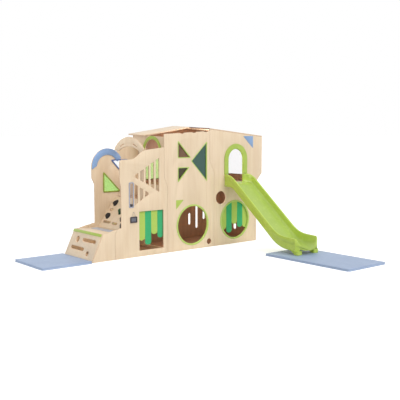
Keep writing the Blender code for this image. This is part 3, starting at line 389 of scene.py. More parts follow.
def acrylic(name, tint, through, seed, roughness, depth):
    """Cast acrylic sheet: tinted, lets a share of the light through, has faint wipe marks."""
    made, tree, shader = principled(name)
    wipe = clouds(placed(tree, (seed, seed, seed)), 26.0, 4.0, 1.5)
    deep = tuple(channel * depth for channel in tint[:3]) + (1.0,)
    colour = mottled(tint, deep, wipe, 0.4, 0.8, 0.6)
    smooth = between(wipe, 0.3, 0.8, roughness, roughness + 0.06)
    tree.links.new(colour, shader.inputs["Base Color"])
    tree.links.new(smooth, shader.inputs["Roughness"])
    shader.inputs["Transmission Weight"].default_value = through
    shader.inputs["IOR"].default_value = 1.49
    made.diffuse_color = tint
    return made


# Finishes

BIRCH = {"Pale": paint(232, 211, 182), "Tan": paint(223, 198, 166), "Streak": paint(204, 174, 140)}
PLY = {"Pale": paint(232, 208, 180), "Tan": paint(203, 168, 132), "Glue": paint(150, 110, 80)}
BROWN = shades((158, 118, 88), (136, 98, 70), (178, 140, 108))
TAN = shades((236, 212, 180), (226, 198, 164), (244, 224, 198))
RIDGE_END_DARK = shades((116, 78, 56), (98, 64, 46), (134, 96, 70))
STONE = shades((34, 27, 24), (20, 16, 14), (60, 50, 44))
MOSS = shades((22, 74, 34), (12, 48, 22), (58, 116, 66))
SLATE = shades((108, 109, 118), (90, 91, 100), (150, 152, 160))
MAT = shades((157, 175, 203), (147, 165, 195), (173, 188, 212))
PIPING = shades((160, 177, 205), (148, 165, 196), (180, 194, 217))
STEEL = {
    "Base": (0.52, 0.52, 0.53, 1),
    "Dark": (0.42, 0.42, 0.43, 1),
    "Light": (0.66, 0.66, 0.67, 1),
}

brown_upright = laminate("brown_laminate_walls", BROWN)
brown_level = laminate("brown_laminate_floors", BROWN, "x", 3.1)
tan_roof = laminate("tan_roof_underside", TAN, "y", 5.3)
dark_ridge_end = laminate("dark_roof_ridge_end", RIDGE_END_DARK, "y", 6.1)
lime = plastic("lime_slide_plastic", (182, 204, 82), (170, 194, 70), (198, 214, 112), 0.45, 0.2)
# Painted shading: the slide's upward-facing bed is painted a darker, duller green than its walls
# and rails
paint_bed_shading(lime, {"Base": paint(166, 190, 88), "Dark": paint(156, 181, 74)})
lime_trim = plastic("lime_band_plastic", (172, 194, 84), (160, 184, 72), (188, 206, 108), 0.3, 0.1)
pale_lime = plastic(
    "pale_lime_rim_plastic", (184, 208, 112), (172, 198, 98), (200, 220, 134), 0.3, 0.1
)
blue = plastic("blue_inlay_laminate", (139, 168, 208), (128, 158, 200), (156, 182, 218), 0.25)
frame_blue = plastic("blue_window_frame", (92, 112, 166), (80, 100, 154), (116, 134, 180), 0.3)
frame_green = plastic("green_window_frame", (152, 168, 66), (138, 154, 54), (172, 186, 92), 0.3)
slot_grey = plastic("slider_frame_grey", (170, 173, 190), (156, 160, 178), (188, 191, 204), 0.3)
tread_grey = plastic("tread_grey_blue", (188, 192, 203), (174, 180, 193), (204, 208, 217), 0.6)
dark_plastic = plastic("slate_frame_plastic", (50, 43, 52), (40, 34, 42), (74, 66, 76), 0.4, 0.1)
emerald = felt("emerald_felt", (62, 176, 116), (46, 152, 98), (92, 196, 140))
light_felt = felt("light_lime_felt", (178, 204, 98), (160, 188, 80), (200, 220, 130))
stone = surface("dark_stone_hold", "cast_stone", STONE, bump=(0.7, 0.0008))
moss = surface("green_stone_hold", "cast_stone", MOSS, bump=(0.7, 0.0008))
bead_black = plastic("bead_black_plastic", (34, 30, 34), (24, 21, 25), (62, 58, 62), 0.3, 0.4)
steel = surface(
    "brushed_steel_rod", "brushed_metal", STEEL, bump=(0.1, 0.0001), settings={"Metallic": 1.0}
)
chalk = surface(
    "grey_slate_face", "laminate_skin", SLATE, bump=(0.2, 0.0002), turn=(0, math.radians(78), 0)
)
vinyl = surface(
    "blue_mat_vinyl",
    "vinyl_grain",
    MAT,
    bump=(0.35, 0.0004),
    settings={"Coat Weight": 0.08, "Coat Roughness": 0.4},
)
piping_vinyl = surface("blue_mat_piping", "vinyl_grain", PIPING, bump=(0.3, 0.0003))


# Modelling helpers

def activate(piece):
    if bpy.context.mode != "OBJECT":
        bpy.ops.object.mode_set(mode="OBJECT")
    bpy.ops.object.select_all(action="DESELECT")
    piece.select_set(True)
    bpy.context.view_layer.objects.active = piece


def all_edit(piece):
    activate(piece)
    bpy.ops.object.mode_set(mode="EDIT")
    bpy.ops.mesh.select_all(action="SELECT")


def leave_edit():
    """Turns every face outwards and leaves edit mode."""
    bpy.ops.mesh.select_all(action="SELECT")
    bpy.ops.mesh.normals_make_consistent(inside=False)
    bpy.ops.object.mode_set(mode="OBJECT")


def linked(name, data):
    piece = bpy.data.objects.new(name, data)
    bpy.context.scene.collection.objects.link(piece)
    return piece


def primitive(name, add, **sizes):
    bpy.ops.object.select_all(action="DESELECT")
    add(**sizes)
    bpy.context.object.name = name
    return bpy.context.object


def modify(piece, kind, **settings):
    activate(piece)
    made = piece.modifiers.new(kind.lower(), kind)
    for key, value in settings.items():
        setattr(made, key, value)
    bpy.ops.object.modifier_apply(modifier=made.name)


def round_edges(piece, width, segments=2):
    settings = {"limit_method": "ANGLE", "angle_limit": math.radians(35)}
    modify(piece, "BEVEL", width=width, segments=segments, **settings)


def dress(piece, *materials):
    piece.data.materials.clear()
    for material in materials:
        piece.data.materials.append(material)


def finish_piece(piece, material, body="castle", smooth=35):
    if material:
        dress(piece, material)
    activate(piece)
    bpy.ops.object.shade_smooth_by_angle(angle=math.radians(smooth))
    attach(piece, body)
    return piece


def merged_copy(name, label):
    """A copy of a CAD node's mesh with its loose triangles joined into flat faces."""
    piece = linked(f"{name}_{label}", nodes[name].data.copy())
    all_edit(piece)
    bpy.ops.mesh.customdata_custom_splitnormals_clear()
    bpy.ops.mesh.remove_doubles(threshold=MERGE_WIDE)
    bpy.ops.mesh.dissolve_limited(angle_limit=FLAT)
    bpy.ops.object.mode_set(mode="OBJECT")
    return piece


def board(name, normal, outer, inner=None):
    """A bevelled copy of a board: its two faces and its cut edge each get their own finish."""
    piece = merged_copy(name, "board")
    round_edges(piece, 0.0014)
    normal = Vector(normal).normalized()
    low = min(vertex.co.dot(normal) for vertex in piece.data.vertices)
    dress(piece, outer, inner or outer, edge_surface(f"{name}_ply_edge", normal, low))
    for face in piece.data.polygons:
        facing = face.normal.dot(normal)
        face.material_index = 2 if abs(facing) < 0.85 else 0 if facing > 0 else 1
    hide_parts(name)
    return finish_piece(piece, None)


# How a flat piece drawn in X and Y is turned for its normal, and the way its thickness goes
PLATE_TURNS = {"Y": ((math.radians(90), 0, 0), Y), "Z": ((0, 0, 0), Z)}


def plate(name, loops, normal, low, thickness, material, radius=0.001, body="castle"):
    """A flat piece cut to loops, which are X and Z for a normal of Y, or X and Y for Z."""
    curve = bpy.data.curves.new(name, "CURVE")
    curve.dimensions = "2D"
    curve.fill_mode = "BOTH"
    curve.extrude = thickness / 2
    for loop in loops:
        spline = curve.splines.new("POLY")
        spline.points.add(len(loop) - 1)
        for point, (a, b) in zip(spline.points, loop):
            point.co = (a, b, 0, 1)
        spline.use_cyclic_u = True
    piece = linked(name, curve)
    turn, way = PLATE_TURNS[normal]
    piece.rotation_euler = turn
    piece.location = way * (low + thickness / 2)
    activate(piece)
    bpy.ops.object.convert(target="MESH")
    bpy.ops.object.transform_apply(location=True, rotation=True, scale=True)
    all_edit(piece)
    bpy.ops.mesh.remove_doubles(threshold=MERGE_FINE)
    bpy.ops.mesh.dissolve_limited(angle_limit=FLAT)
    leave_edit()
    round_edges(piece, radius)
    return finish_piece(piece, material, body)


def tube(name, points, radius, material, closed=False, body="castle"):
    curve = bpy.data.curves.new(name, "CURVE")
    curve.dimensions = "3D"
    curve.bevel_depth = radius
    curve.bevel_resolution = 3
    curve.use_fill_caps = not closed
    spline = curve.splines.new("POLY")
    spline.points.add(len(points) - 1)
    for point, place in zip(spline.points, points):
        point.co = (*place, 1)
    spline.use_cyclic_u = closed
    piece = linked(name, curve)
    activate(piece)
    bpy.ops.object.convert(target="MESH")
    all_edit(piece)
    bpy.ops.mesh.remove_doubles(threshold=MERGE_FINE)
    leave_edit()
    return finish_piece(piece, material, body, 60)


def turned(name, profile, centre, axis, material, steps, body="castle"):
    """A piece spun round an axis through centre, from a closed profile of (radius, along)."""
    centre, axis = Vector(centre), Vector(axis)
    across = Z if abs(axis.z) < 0.5 else X
    add = bpy.ops.mesh.primitive_circle_add
    piece = primitive(name, add, vertices=len(profile), fill_type="NOTHING")
    for vertex, (radius, along) in zip(piece.data.vertices, profile):
        vertex.co = centre + across * radius + axis * along
    all_edit(piece)
    bpy.ops.mesh.spin(steps=steps, angle=2 * math.pi, center=centre, axis=axis)
    bpy.ops.mesh.select_all(action="SELECT")
    bpy.ops.mesh.remove_doubles(threshold=MERGE_WIDE)
    leave_edit()
    return finish_piece(piece, material, body, 40)


def loft(name, rings, material):
    """A skin over rings of points, bridged in order and closed at both ends."""
    add = bpy.ops.mesh.primitive_circle_add
    piece = primitive(name, add, vertices=len(rings[0]), fill_type="NOTHING")
    bpy.ops.object.mode_set(mode="EDIT")
    for _ in rings[1:]:
        bpy.ops.mesh.primitive_circle_add(vertices=len(rings[0]), fill_type="NOTHING")
    bpy.ops.object.mode_set(mode="OBJECT")
    places = [point for ring in rings for point in ring]
    for vertex, place in zip(piece.data.vertices, places):
        vertex.co = place
    all_edit(piece)
    bpy.ops.mesh.bridge_edge_loops(type="SINGLE")
    bpy.ops.mesh.select_all(action="SELECT")
    bpy.ops.mesh.select_non_manifold(extend=False)
    bpy.ops.mesh.fill_holes(sides=0)
    leave_edit()
    return finish_piece(piece, material, smooth=50)


# Outlines

def on_way(first, last, share):
    return tuple(a + (b - a) * share for a, b in zip(first, last))


def arc(centre, radius, start, end, steps):
    points = []
    for step in range(steps + 1):
        angle = math.radians(start + (end - start) * step / steps)
        points.append((centre[0] + radius * math.cos(angle), centre[1] + radius * math.sin(angle)))
    return points


def corner(before, point, after, radius, steps):
    way_in, way_out = Vector(before) - Vector(point), Vector(after) - Vector(point)
    half = way_in.angle(way_out) / 2
    reach = min(radius / math.tan(half), 0.49 * way_in.length, 0.49 * way_out.length)
    first = Vector(point) + way_in.normalized() * reach
    last = Vector(point) + way_out.normalized() * reach
    made = []
    for step in range(steps + 1):
        t = step / steps
        made.append(tuple(first * (1 - t) ** 2 + Vector(point) * 2 * t * (1 - t) + last * t * t))
    return made


def rounded(points, radius, steps=4):
    made = []
    for index, point in enumerate(points):
        made += corner(points[index - 1], point, points[(index + 1) % len(points)], radius, steps)
    return made


def inset(points, distance):
    """A convex outline, anticlockwise, moved inwards, or outwards if distance is negative."""
    made = []
    for index, (x, y) in enumerate(points):
        before, after = points[index - 1], points[(index + 1) % len(points)]
        a = math.atan2(y - before[1], x - before[0])
        b = math.atan2(after[1] - y, after[0] - x)
        along = distance * math.tan((b - a) / 2)
        x_in = x - distance * math.sin(a) - along * math.cos(a)
        y_in = y + distance * math.cos(a) - along * math.sin(a)
        made.append((x_in, y_in))
    return made


def rectangle(left, low, right, high):
    """Its corners, anticlockwise from the lower left."""
    return [(left, low), (right, low), (right, high), (left, high)]


# Boards

def boards():
    """Every board in birch or laminate, and the thin sheet below the ramp."""
    front, up = (0, -1, 0), (0, 0, 1)
    for seed, name in enumerate(("window_panel", "slide_panel", "climber_near_panel")):
        board(name, front, wood(f"birch_{name}", seed + 1.0), brown_upright)
    for seed, name in enumerate(("low_side_near", "low_side_far", "climber_far_panel")):
        board(name, front, wood(f"birch_{name}", seed + 5.0))
    for name, normal, seed, inner in (
        ("back_panel", (0, 1, 0), 9.0, brown_upright),
        ("tower_left_wall", (-1, 0, 0), 11.0, brown_upright),
        ("tower_right_wall", (1, 0, 0), 13.0, brown_upright),
        ("portal_arch", (-1, 0, 0), 15.0, None),
        ("platform_riser", (-1, 0, 0), 16.0, None),
    ):
        board(name, normal, wood(f"birch_{name}", seed), inner)
    board("platform_board", up, wood("birch_platform_board", 17.0, "y"))
    for name in ("tower_floor", "tower_deck", "climber_deck", "climber_floor"):
        board(name, up, brown_level)
    board("ramp_panel", RAMP_NORMAL, wood("birch_ramp_panel", 19.0))
    board("climbing_wall", CLIMB_NORMAL, wood("birch_climbing_wall", 21.0))
    roof_wood = wood("birch_roof_right_board", 23.0, "y")
    right_roof = board("roof_right_board", (0.107, -0.045, 1), roof_wood, tan_roof)
    # The right roof board's faces at the ridge's end are coloured dark brown
    right_roof.data.materials.append(dark_ridge_end)
    for face in right_roof.data.polygons:
        if face.normal.x < -0.6:
            face.material_index = 3
    roof_wood = wood("birch_roof_left_board", 24.0, "y")
    board("roof_left_board", (-0.144, -0.045, 1), roof_wood, tan_roof)
    # A thin sheet closes the ramp's box from below
    base = rectangle(-2.205, -0.425, -1.75, 0.295)
    base_wood = wood("birch_ramp_base", 31.0, "y")
    plate("ramp_base_sheet", [base], "Z", SKIN, 0.004, base_wood)
    batten_wood = wood("birch_battens", 27.0, "y")
    for name in ("deck_batten_left", "deck_batten_right", "climber_batten"):
        board(name, up, batten_wood)
    rail_wood = wood("birch_strip_rails", 29.0, "x")
    for name in ("door_strip_rail", "porthole_strip_rail"):
        board(name, up, rail_wood)


# Windows

# Each pane with its material, its tint on screen, what goes through, roughness and depth of marks
PANES = (
    ("window_pane_upper", "bronze_acrylic", (112, 80, 54), 0.16, 0.04, 0.82),
    ("window_pane_lower", "olive_acrylic", (64, 56, 30), 0.10, 0.04, 0.82),
    ("window_pane_right", "teal_acrylic", (62, 102, 92), 0.28, 0.04, 0.82),
    ("back_window_pane", "lime_acrylic", (200, 226, 152), 0.9, 0.04, 0.82),
    ("green_window_pane", "bright_lime_acrylic", (190, 232, 140), 0.9, 0.04, 0.82),
    ("side_window_pane", "clear_acrylic_side", (250, 250, 251), 1.0, 0.0, 0.97),
    ("blue_window_pane", "clear_acrylic_blue", (252, 253, 255), 1.0, 0.0, 0.95),
)


def window_outlines():
    near, middle, far = LEFT + 0.20, LEFT + 0.40, LEFT + 0.43
    edge, apex = LEFT + 0.757, LEFT + 0.458
    return {
        "upper": [(near, DECK + 0.415), (far, DECK + 0.415), (near, DECK + 0.655)],
        "lower": [(near, DECK + 0.055), (middle, DECK + 0.26), (near, DECK + 0.26)],
        "right": [(edge, DECK + 0.05), (edge, DECK + 0.64), (apex, DECK + 0.358)],
    }


def windows():
    """Acrylic panes, the pale lime liners of the tower's windows and the climber's frames."""
    for seed, (name, material, tint, through, roughness, depth) in enumerate(PANES, 1):
        made = acrylic(material, paint(*tint), through, float(seed), roughness, depth)
        dress(nodes[name], made)
    clearance, wall = 0.0004, 0.003
    liner_front, liner_depth = FRONT - 0.002, BOARD + 0.0018
    flange_front, flange_depth = FRONT - 0.002 - SKIN, 0.002
    for key, points in window_outlines().items():
        outer = rounded(inset(points, clearance), 0.008, 3)
        inner = rounded(inset(points, clearance + wall), 0.006, 3)
        flange = rounded(inset(points, -0.009), 0.014, 4)
        for name, loops, front, depth, radius in (
            (f"window_liner_{key}", [outer, inner], liner_front, liner_depth, 0.0005),
            (f"window_flange_{key}", [flange, outer], flange_front, flange_depth, 0.0006),
        ):
            plate(name, loops, "Y", front, depth, pale_lime, radius)
    green = [(LEFT - 0.638, DECK - 0.10), (LEFT - 0.36, DECK - 0.10), (LEFT - 0.638, DECK + 0.184)]
    clear = [(LEFT - 0.49, DECK + 0.37), (LEFT - 0.22, DECK + 0.09), (LEFT - 0.22, DECK + 0.37)]
    proud = 0.008
    for name, points, material, slot in (
        ("green_window_frame", green, frame_green, "lime_plastic"),
        ("blue_window_frame", clear, frame_blue, "blue_laminate"),
    ):
        loops = [rounded(inset(points, -0.012), 0.02, 5), rounded(inset(points, 0.006), 0.012, 4)]
        plate(name, loops, "Y", FAR - BOARD - SKIN - proud, proud, material, 0.002)


# Bands, rims and inlays

def bands():
    """Door bands, the arch's blue band, the rims and the flat coloured inlays."""
    for name, material, slot in (
        ("slide_door_band", lime_trim, "lime_plastic"),
        ("left_door_band", lime_trim, "lime_plastic"),
        ("blue_arch_band", blue, "blue_laminate"),
        ("ramp_nosing", lime_trim, "lime_plastic"),
    ):
        piece = merged_copy(name, "trim")
        round_edges(piece, 0.0025, 3)
        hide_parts(name)
        finish_piece(piece, material)
    door_sleeve()
    porthole_rings()
    thin = 0.003
    corner_blue = [(RIGHT - 0.31, 1.732), (RIGHT - 0.088, 1.532), (RIGHT - 0.088, 1.732)]
    corner_green = [(-0.764, 0.776), (-0.764, 0.636), (-0.62, 0.776)]
    for name, points, material, slot in (
        ("blue_inlay", corner_blue, blue, "blue_laminate"),
        ("green_inlay", corner_green, lime_trim, "lime_plastic"),
    ):
        plate(name, [rounded(points, 0.004, 2)], "Y", FRONT - thin - SKIN, thin, material)
    tread = rounded(rectangle(-1.87, -0.31, -1.75, 0.18), 0.012)
    low, thick = PLATFORM + SKIN, 0.005
    plate("platform_tread", [tread], "Z", low, thick, tread_grey, 0.0015)


def door_sleeve():
    """The thin lining of the slide door, open at its sill."""
    half, sill, spring, wall = 0.1637, DECK + 0.0004, DECK + 0.365, 0.003
    sleeve = [(DOOR_X - half, sill)] + arc((DOOR_X, spring), half, 180, 0, 40)
    sleeve += [(DOOR_X + half, sill), (DOOR_X + half - wall, sill)]
    sleeve += arc((DOOR_X, spring), half - wall, 0, 180, 40) + [(DOOR_X - half + wall, sill)]
    front, depth = FRONT - 0.0002, BOARD + 0.0018
    plate("slide_door_sleeve", [sleeve], "Y", front, depth, lime_trim, 0.0008)


def porthole_rings():
    """Each rim: a spigot in the hole and a rounded flange in front of the panel."""
    bore, spigot, lip = 0.2897, 0.2995, 0.316
    profile = [(bore, -BOARD), (bore, 0.004), (bore + 0.001, 0.0068), (bore + 0.004, 0.008)]
    profile += [(lip - 0.006, 0.008), (lip - 0.002, 0.0065), (lip, 0.003), (lip, SKIN)]
    profile += [(spigot, SKIN), (spigot, -BOARD)]
    for name, x, height in (
        ("porthole_rim_left", LEFT + 0.48, 0.378),
        ("porthole_rim_right", RIGHT - 0.483, 0.390),
    ):
        centre, forwards = (x, FRONT, height), (0, -1, 0)
        piece = turned(
            f"{name}_ring", profile, centre, forwards, pale_lime, 96
        )
        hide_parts(name)


# Slide

SLIDE_HALF = 0.24
# Distances out from the wall: the hood's end, the turn into the run-out, and the slide's end
HOOD_END, SLIDE_TURN, SLIDE_END = 0.16, 1.17, 1.60


def slide_line():
    """The bed's middle line as (distance out, height), finer than the solid's but on it."""
    top, brow, turn, end = (0.0, DECK), (HOOD_END, 0.98), (SLIDE_TURN, 0.165), (SLIDE_END, 0.108)
    points = [top, (0.03, 0.9963)] + corner(top, brow, turn, 0.30, 14)
    run_out = corner(brow, turn, end, 0.62, 18)
    points += [on_way(points[-1], run_out[0], step / 16) for step in range(1, 16)] + run_out
    for share in (0.25, 0.45, 0.6, 0.7, 0.78, 0.85, 0.9, 0.94, 0.97, 0.99, 1.0):
        points.append(on_way(run_out[-1], end, share))
    return points


def slide_ring(out, bed):
    """One section: bed, walls, rolled rails, recessed flanks and a hollow underside."""
    nose = min(1.0, (SLIDE_END - out) / 0.03)
    late = max(0.0, (out - SLIDE_TURN) / (SLIDE_END - SLIDE_TURN))
    rail = 0.085 + 0.04 * late + 0.04 * math.sin(nose * math.pi / 2)
    hood = max(0.0, 1 - out / HOOD_END)
    near = hood * hood * (3 - 2 * hood)
    under = bed - 0.048 - 0.022 * hood + 0.016 * late
    top = bed + rail + 0.008 * hood
    tall = top - bed
    half = SLIDE_HALF
    roll = min(0.010, tall * 0.3)
    flank = half - 0.006 * min(1.0, nose * 1.5)
    lip_low = bed + tall * 0.52
    # Towards its end the trough becomes one round U with a thin lip
    end = late * late * late
    # The right half, from the middle of the underside round to the middle of the bed
    right = [
        # hollow underside and foot
        (0.0, under + 0.012 + 0.006 * end),
        (half - 0.070 - 0.060 * end, under + 0.012 + 0.014 * end),
        (half - 0.052 - 0.010 * end, under + 0.011 + 0.040 * end),
        (half - 0.046, under + 0.004),
        (half - 0.040, under),
        (flank - 0.014, under),
        # recessed flank
        (flank - 0.004, under + 0.004),
        (flank, under + 0.013),
        (flank, bed - 0.006),
        (flank, lip_low - tall * 0.09),
        (flank + 0.001, lip_low - tall * 0.04),
        # rolled rail
        (half, lip_low),
        (half, top - roll),
        (half - 0.0025, top - roll * 0.35),
        (half - 0.008, top - roll * 0.04),
        (half - 0.014, top),
        (half - 0.020, top - roll * 0.05),
        (half - 0.0255, top - roll * 0.4),
        (half - 0.028 - 0.048 * near, top - roll * 1.1),
    ]
    # inner wall, as (way in, more at the hood, more late, rise, more late, more at the end)
    for step_in, hood_in, late_in, rise, late_rise, end_rise in (
        (0.034, 0.042, 0.012, 0.42, 0.12, 0.18),
        (0.041, 0.037, 0.032, 0.20, 0.09, 0.25),
        (0.052, 0.028, 0.058, 0.075, 0.055, 0.21),
        (0.070, 0.014, 0.078, 0.015, 0.035, 0.12),
    ):
        x = half - step_in - hood_in * near - late_in * late
        right.append((x, bed + tall * (rise + late_rise * late + end_rise * end)))
    # bed
    right.append((half - 0.095 - 0.082 * late, bed + tall * 0.08 * end))
    right.append((half - 0.160 - 0.045 * late, bed - 0.0008 + tall * 0.02 * end))
    right.append((0.0, bed - 0.0012))
    points = []
    for x, z in right + [(-x, z) for x, z in reversed(right[1:-1])]:
        bow = 1 - math.sqrt(1 - (x / (half + 0.012)) ** 2)
        points.append((DOOR_X + x, FRONT - 0.0004 - out + 0.12 * bow * late * late, z))
    return points


# Each slide leg from the mat up, as (height, growth of its outline, lean of its back)
LEG_RINGS = (
    (0.0354, 0, 0),
    (0.0372, 0.003, 0),
    (0.060, 0.004, 0.026),
    (0.084, 0.004, 0.062),
    (0.0955, 0.004, 0.078),
)
# A leg's middle from the slide's, half its width, and its front and back from the wall
LEG_X, LEG_HALF, LEG_FRONT, LEG_BACK = 0.175, 0.046, -1.554, -1.490
SLIDE_BOLT = [(0.0001, 0.0), (0.0085, 0.0), (0.0085, 0.002), (0.006, 0.005), (0.0001, 0.0058)]


def slide():
    """The moulding, its two legs, and the four bolts that hold it to the wall."""
    rings = [slide_ring(out, bed) for out, bed in slide_line()]
    chute = loft("slide_moulding", rings, lime)
    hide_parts("slide")
    bed = chute.data.attributes.new("bed", "FLOAT", "POINT")
    # Painted shading: each point's share of the bed tone grows as it faces up, by its normal
    for vertex in chute.data.vertices:
        if abs(vertex.co.x - DOOR_X) < SLIDE_HALF - 0.026:
            bed.data[vertex.index].value = min(1.0, max(0.0, (vertex.normal.z - 0.25) / 0.4))
    sides = ((-1, "left"), (1, "right"))
    for side, label in sides:
        middle_x = DOOR_X + side * LEG_X
        leg_rings = []
        for height, grow, lean in LEG_RINGS:
            half, back = LEG_HALF + grow, LEG_BACK + grow + lean
            outline = rounded(rectangle(-half, LEG_FRONT - grow, half, back), 0.016, 5)
            leg_rings.append([(middle_x + a, FRONT + b, height) for a, b in outline])
        loft(f"slide_leg_{label}", leg_rings, lime)
    for side, label in sides:
        for level, height in (("low", 0.955), ("high", 1.075)):
            name = f"slide_bolt_{label}_{level}"
            place = (DOOR_X + side * (SLIDE_HALF - 0.006), FRONT - 0.03, height)
            turned(name, SLIDE_BOLT, place, (side, 0, 0), steel, 24)


# Felt strips

def strip(name, material, seed):
    """A thin felt strip with a round lower end, slightly waved, hung from its top edge."""
    low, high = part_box(name)
    half, length = (high.x - low.x) / 2, high.z - low.z
    middle_x, middle_y = (high.x + low.x) / 2, (high.y + low.y) / 2
    end = half * 0.8
    straight = length - end
    straight_rows, end_rows = 22, 10
    rows = [straight * step / straight_rows for step in range(straight_rows + 1)]
    for step in range(1, end_rows):
        rows.append(straight + end * math.sin(math.radians(90 * step / end_rows)))
    rows.append(length - 0.0004)
    last = len(rows) - 1
    add = bpy.ops.mesh.primitive_grid_add
    piece = primitive(f"{name}_felt", add, x_subdivisions=8, y_subdivisions=last)
    chance = random.Random(seed)
    phase, lean = chance.uniform(0, 6), chance.uniform(-0.6, 0.6)
    for vertex in piece.data.vertices:
        u = vertex.co.x
        down = rows[round((1 - (vertex.co.y + 1) / 2) * last)]
        wide = half
        if down > straight:
            wide = half * math.sqrt(max(0.0004, 1 - ((down - straight) / end) ** 2))
        share = down / length
        wave = 0.0016 * math.sin(phase + 5.0 * share) * min(1.0, share * 3)
        curl = 0.0014 * (u * u - 0.4) * min(1.0, share * 2) * (1 if lean > 0 else -1)
        twist = 0.0010 * u * lean * share
        # The top stays flat and behind the hinge's axis, so that it clears the rail as it swings
        bend = (0.0014 + wave + curl + twist) * min(1.0, down / 0.03) - 0.0002
        vertex.co = (middle_x + u * wide, middle_y + bend, high.z - down)
    modify(piece, "SOLIDIFY", thickness=0.0026, offset=0.0)
    all_edit(piece)
    leave_edit()
    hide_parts(name)
    finish_piece(piece, material, name, 50)


def strips():
    looks = ((emerald, "emerald_strip"), (light_felt, "light_strip"))
    for kind, count in (("door", 4), ("porthole", 5)):
        for index in range(1, count + 1):
            material, slot = looks[index % 2]
            strip(f"{kind}_strip_{index}", material, index + 10 * count)


# Holds

# Each hold as (distance behind the front, height above the platform, material, slot)
HOLDS = (
    (0.645, 0.343, stone, "stone_hold"),
    (0.655, 0.158, stone, "stone_hold"),
    (0.250, 0.150, stone, "stone_hold"),
    (0.160, 0.065, stone, "stone_hold"),
    (0.402, 0.240, moss, "green_hold"),
)
HOLD_LENGTH, HOLD_WIDTH, HOLD_HEIGHT = 0.058, 0.052, 0.042
HOLD_BOLT = [(0.0001, 0.0), (0.0075, 0.0), (0.0075, 0.0022), (0.0062, 0.0030)]
HOLD_BOLT += [(0.0040, 0.0030), (0.0036, 0.0012), (0.0001, 0.0012)]
HOLD_BOLT_SEAT = 0.0293


def holds():
    """Chiselled rock holds with a countersunk bolt, flat where they meet the leaning wall."""
    add = bpy.ops.mesh.primitive_ico_sphere_add
    for index, (y, rise, material, slot) in enumerate(HOLDS):
        chance = random.Random(40 + index)
        piece = primitive(f"climbing_hold_{index + 1}_rock", add, subdivisions=5, radius=1.0)
        # Eight facets round the side and one on top, as (direction, reach)
        cuts = []
        for facet in range(8):
            angle = facet * 0.785 + chance.uniform(-0.25, 0.25)
            tilt = chance.uniform(0.15, 0.75)
            direction = Vector((math.cos(angle), math.sin(angle), tilt)).normalized()
            cuts.append((direction, chance.uniform(0.72, 0.86)))
        cuts.append((Vector((0.1, 0.05, 1)).normalized(), 0.72))
        for vertex in piece.data.vertices:
            place = vertex.co.copy()
            for direction, reach in cuts:
                over = place.dot(direction) - reach
                if over > 0:
                    place -= direction * over * 0.93
            place *= 1 + 0.05 * noise.noise(vertex.co * 2.6 + Vector((index * 7.0, 0, 0)))
            place *= 1 + 0.018 * noise.noise(vertex.co * 11.0 + Vector((0, index * 3.0, 0)))
            height = max(0.0, place.z * HOLD_HEIGHT)
            vertex.co = (place.x * HOLD_LENGTH, place.y * HOLD_WIDTH, height)
        x = CLIMB_START + rise / math.tan(CLIMB_ANGLE)
        foot = Vector((x, FRONT + y, PLATFORM + rise))
        turn = Matrix.Rotation(-CLIMB_ANGLE, 4, "Y") @ Matrix.Rotation(0.9 * index, 4, "Z")
        piece.data.transform(Matrix.Translation(foot + CLIMB_NORMAL * SKIN) @ turn)
        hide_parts(f"climbing_hold_{index + 1}")
        finish_piece(piece, material, smooth=28)
        seat = foot + CLIMB_NORMAL * HOLD_BOLT_SEAT
        turned(f"hold_bolt_{index + 1}", HOLD_BOLT, seat, CLIMB_NORMAL, steel, 24)


# Slider and slate

def slider():
    """The rod, the bead that runs on it and the grey frame of its slot."""
    dress(nodes["slider_rod"], steel)
    low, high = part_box("slider_bead")
    radius, half, core = (high.x - low.x) / 2, (high.z - low.z) / 2, 0.012
    profile = [(0.0046, half - 0.001), (0.0056, half)]
    for degrees in range(80, -81, -10):
        a = math.radians(degrees)
        profile.append((core + (radius - core) * math.cos(a), half * math.sin(a)))
    profile += [(0.0056, -half), (0.0046, -half + 0.001)]
    name, centre, body = "slider_bead_ball", (low + high) / 2, "slider_bead"
    bead = turned(name, profile, centre, Z, bead_black, 48, body)
    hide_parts("slider_bead")
    slot, proud = rectangle(LEFT - 0.675, DECK - 0.265, LEFT - 0.621, DECK + 0.07), 0.006
    loops = [rounded(inset(slot, -0.015), 0.02, 5), rounded(slot, 0.01, 3)]
    front = FRONT - SKIN - proud
    plate("slider_frame", loops, "Y", front, proud, slot_grey, 0.0015)


def slate():
    """The slate's frame and writing board, and the wire bail that hangs on the peg."""
    dress(nodes["slate_peg"], steel)
    half, top, low = 0.058, PEG.z - 0.060, PEG.z - 0.147
    outer = rectangle(PEG.x - half, low, PEG.x + half, top)
    hole = inset(outer, 0.014)
    back = FRONT - 0.013
    loops = [rounded(outer, 0.014, 6), rounded(hole, 0.003, 3)]
    rim = plate("slate_rim", loops, "Y", back, 0.010, dark_plastic, 0.0025, "slate")
    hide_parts("slate_frame")
    loops = [inset(hole, 0.0003)]
    face = plate("slate_face", loops, "Y", back + 0.004, 0.004, chalk, 0.0006, "slate")
    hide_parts("slate_board")
    left, right = PEG.x - 0.030, PEG.x + 0.030
    wire = [(left, top - 0.004), (left, top + 0.002)]
    wire += arc((PEG.x, PEG.z), 0.0059, 160, 20, 10)
    wire += [(right, top + 0.002), (right, top - 0.004)]
    places = [(x, back + 0.005, z) for x, z in wire]
    tube("slate_bail", places, 0.0014, steel, body="slate")


# Floor mats

MAT_GRID, MAT_CORNER, MAT_SEAM = 0.02, 0.030, 0.006
# The mat's side from the top's edge down, as (drop, way out)
MAT_SIDE = ((-0.005, 0.0045), (-0.010, 0.0012), (-0.006, -0.0012), (-0.0065, -0.0045))


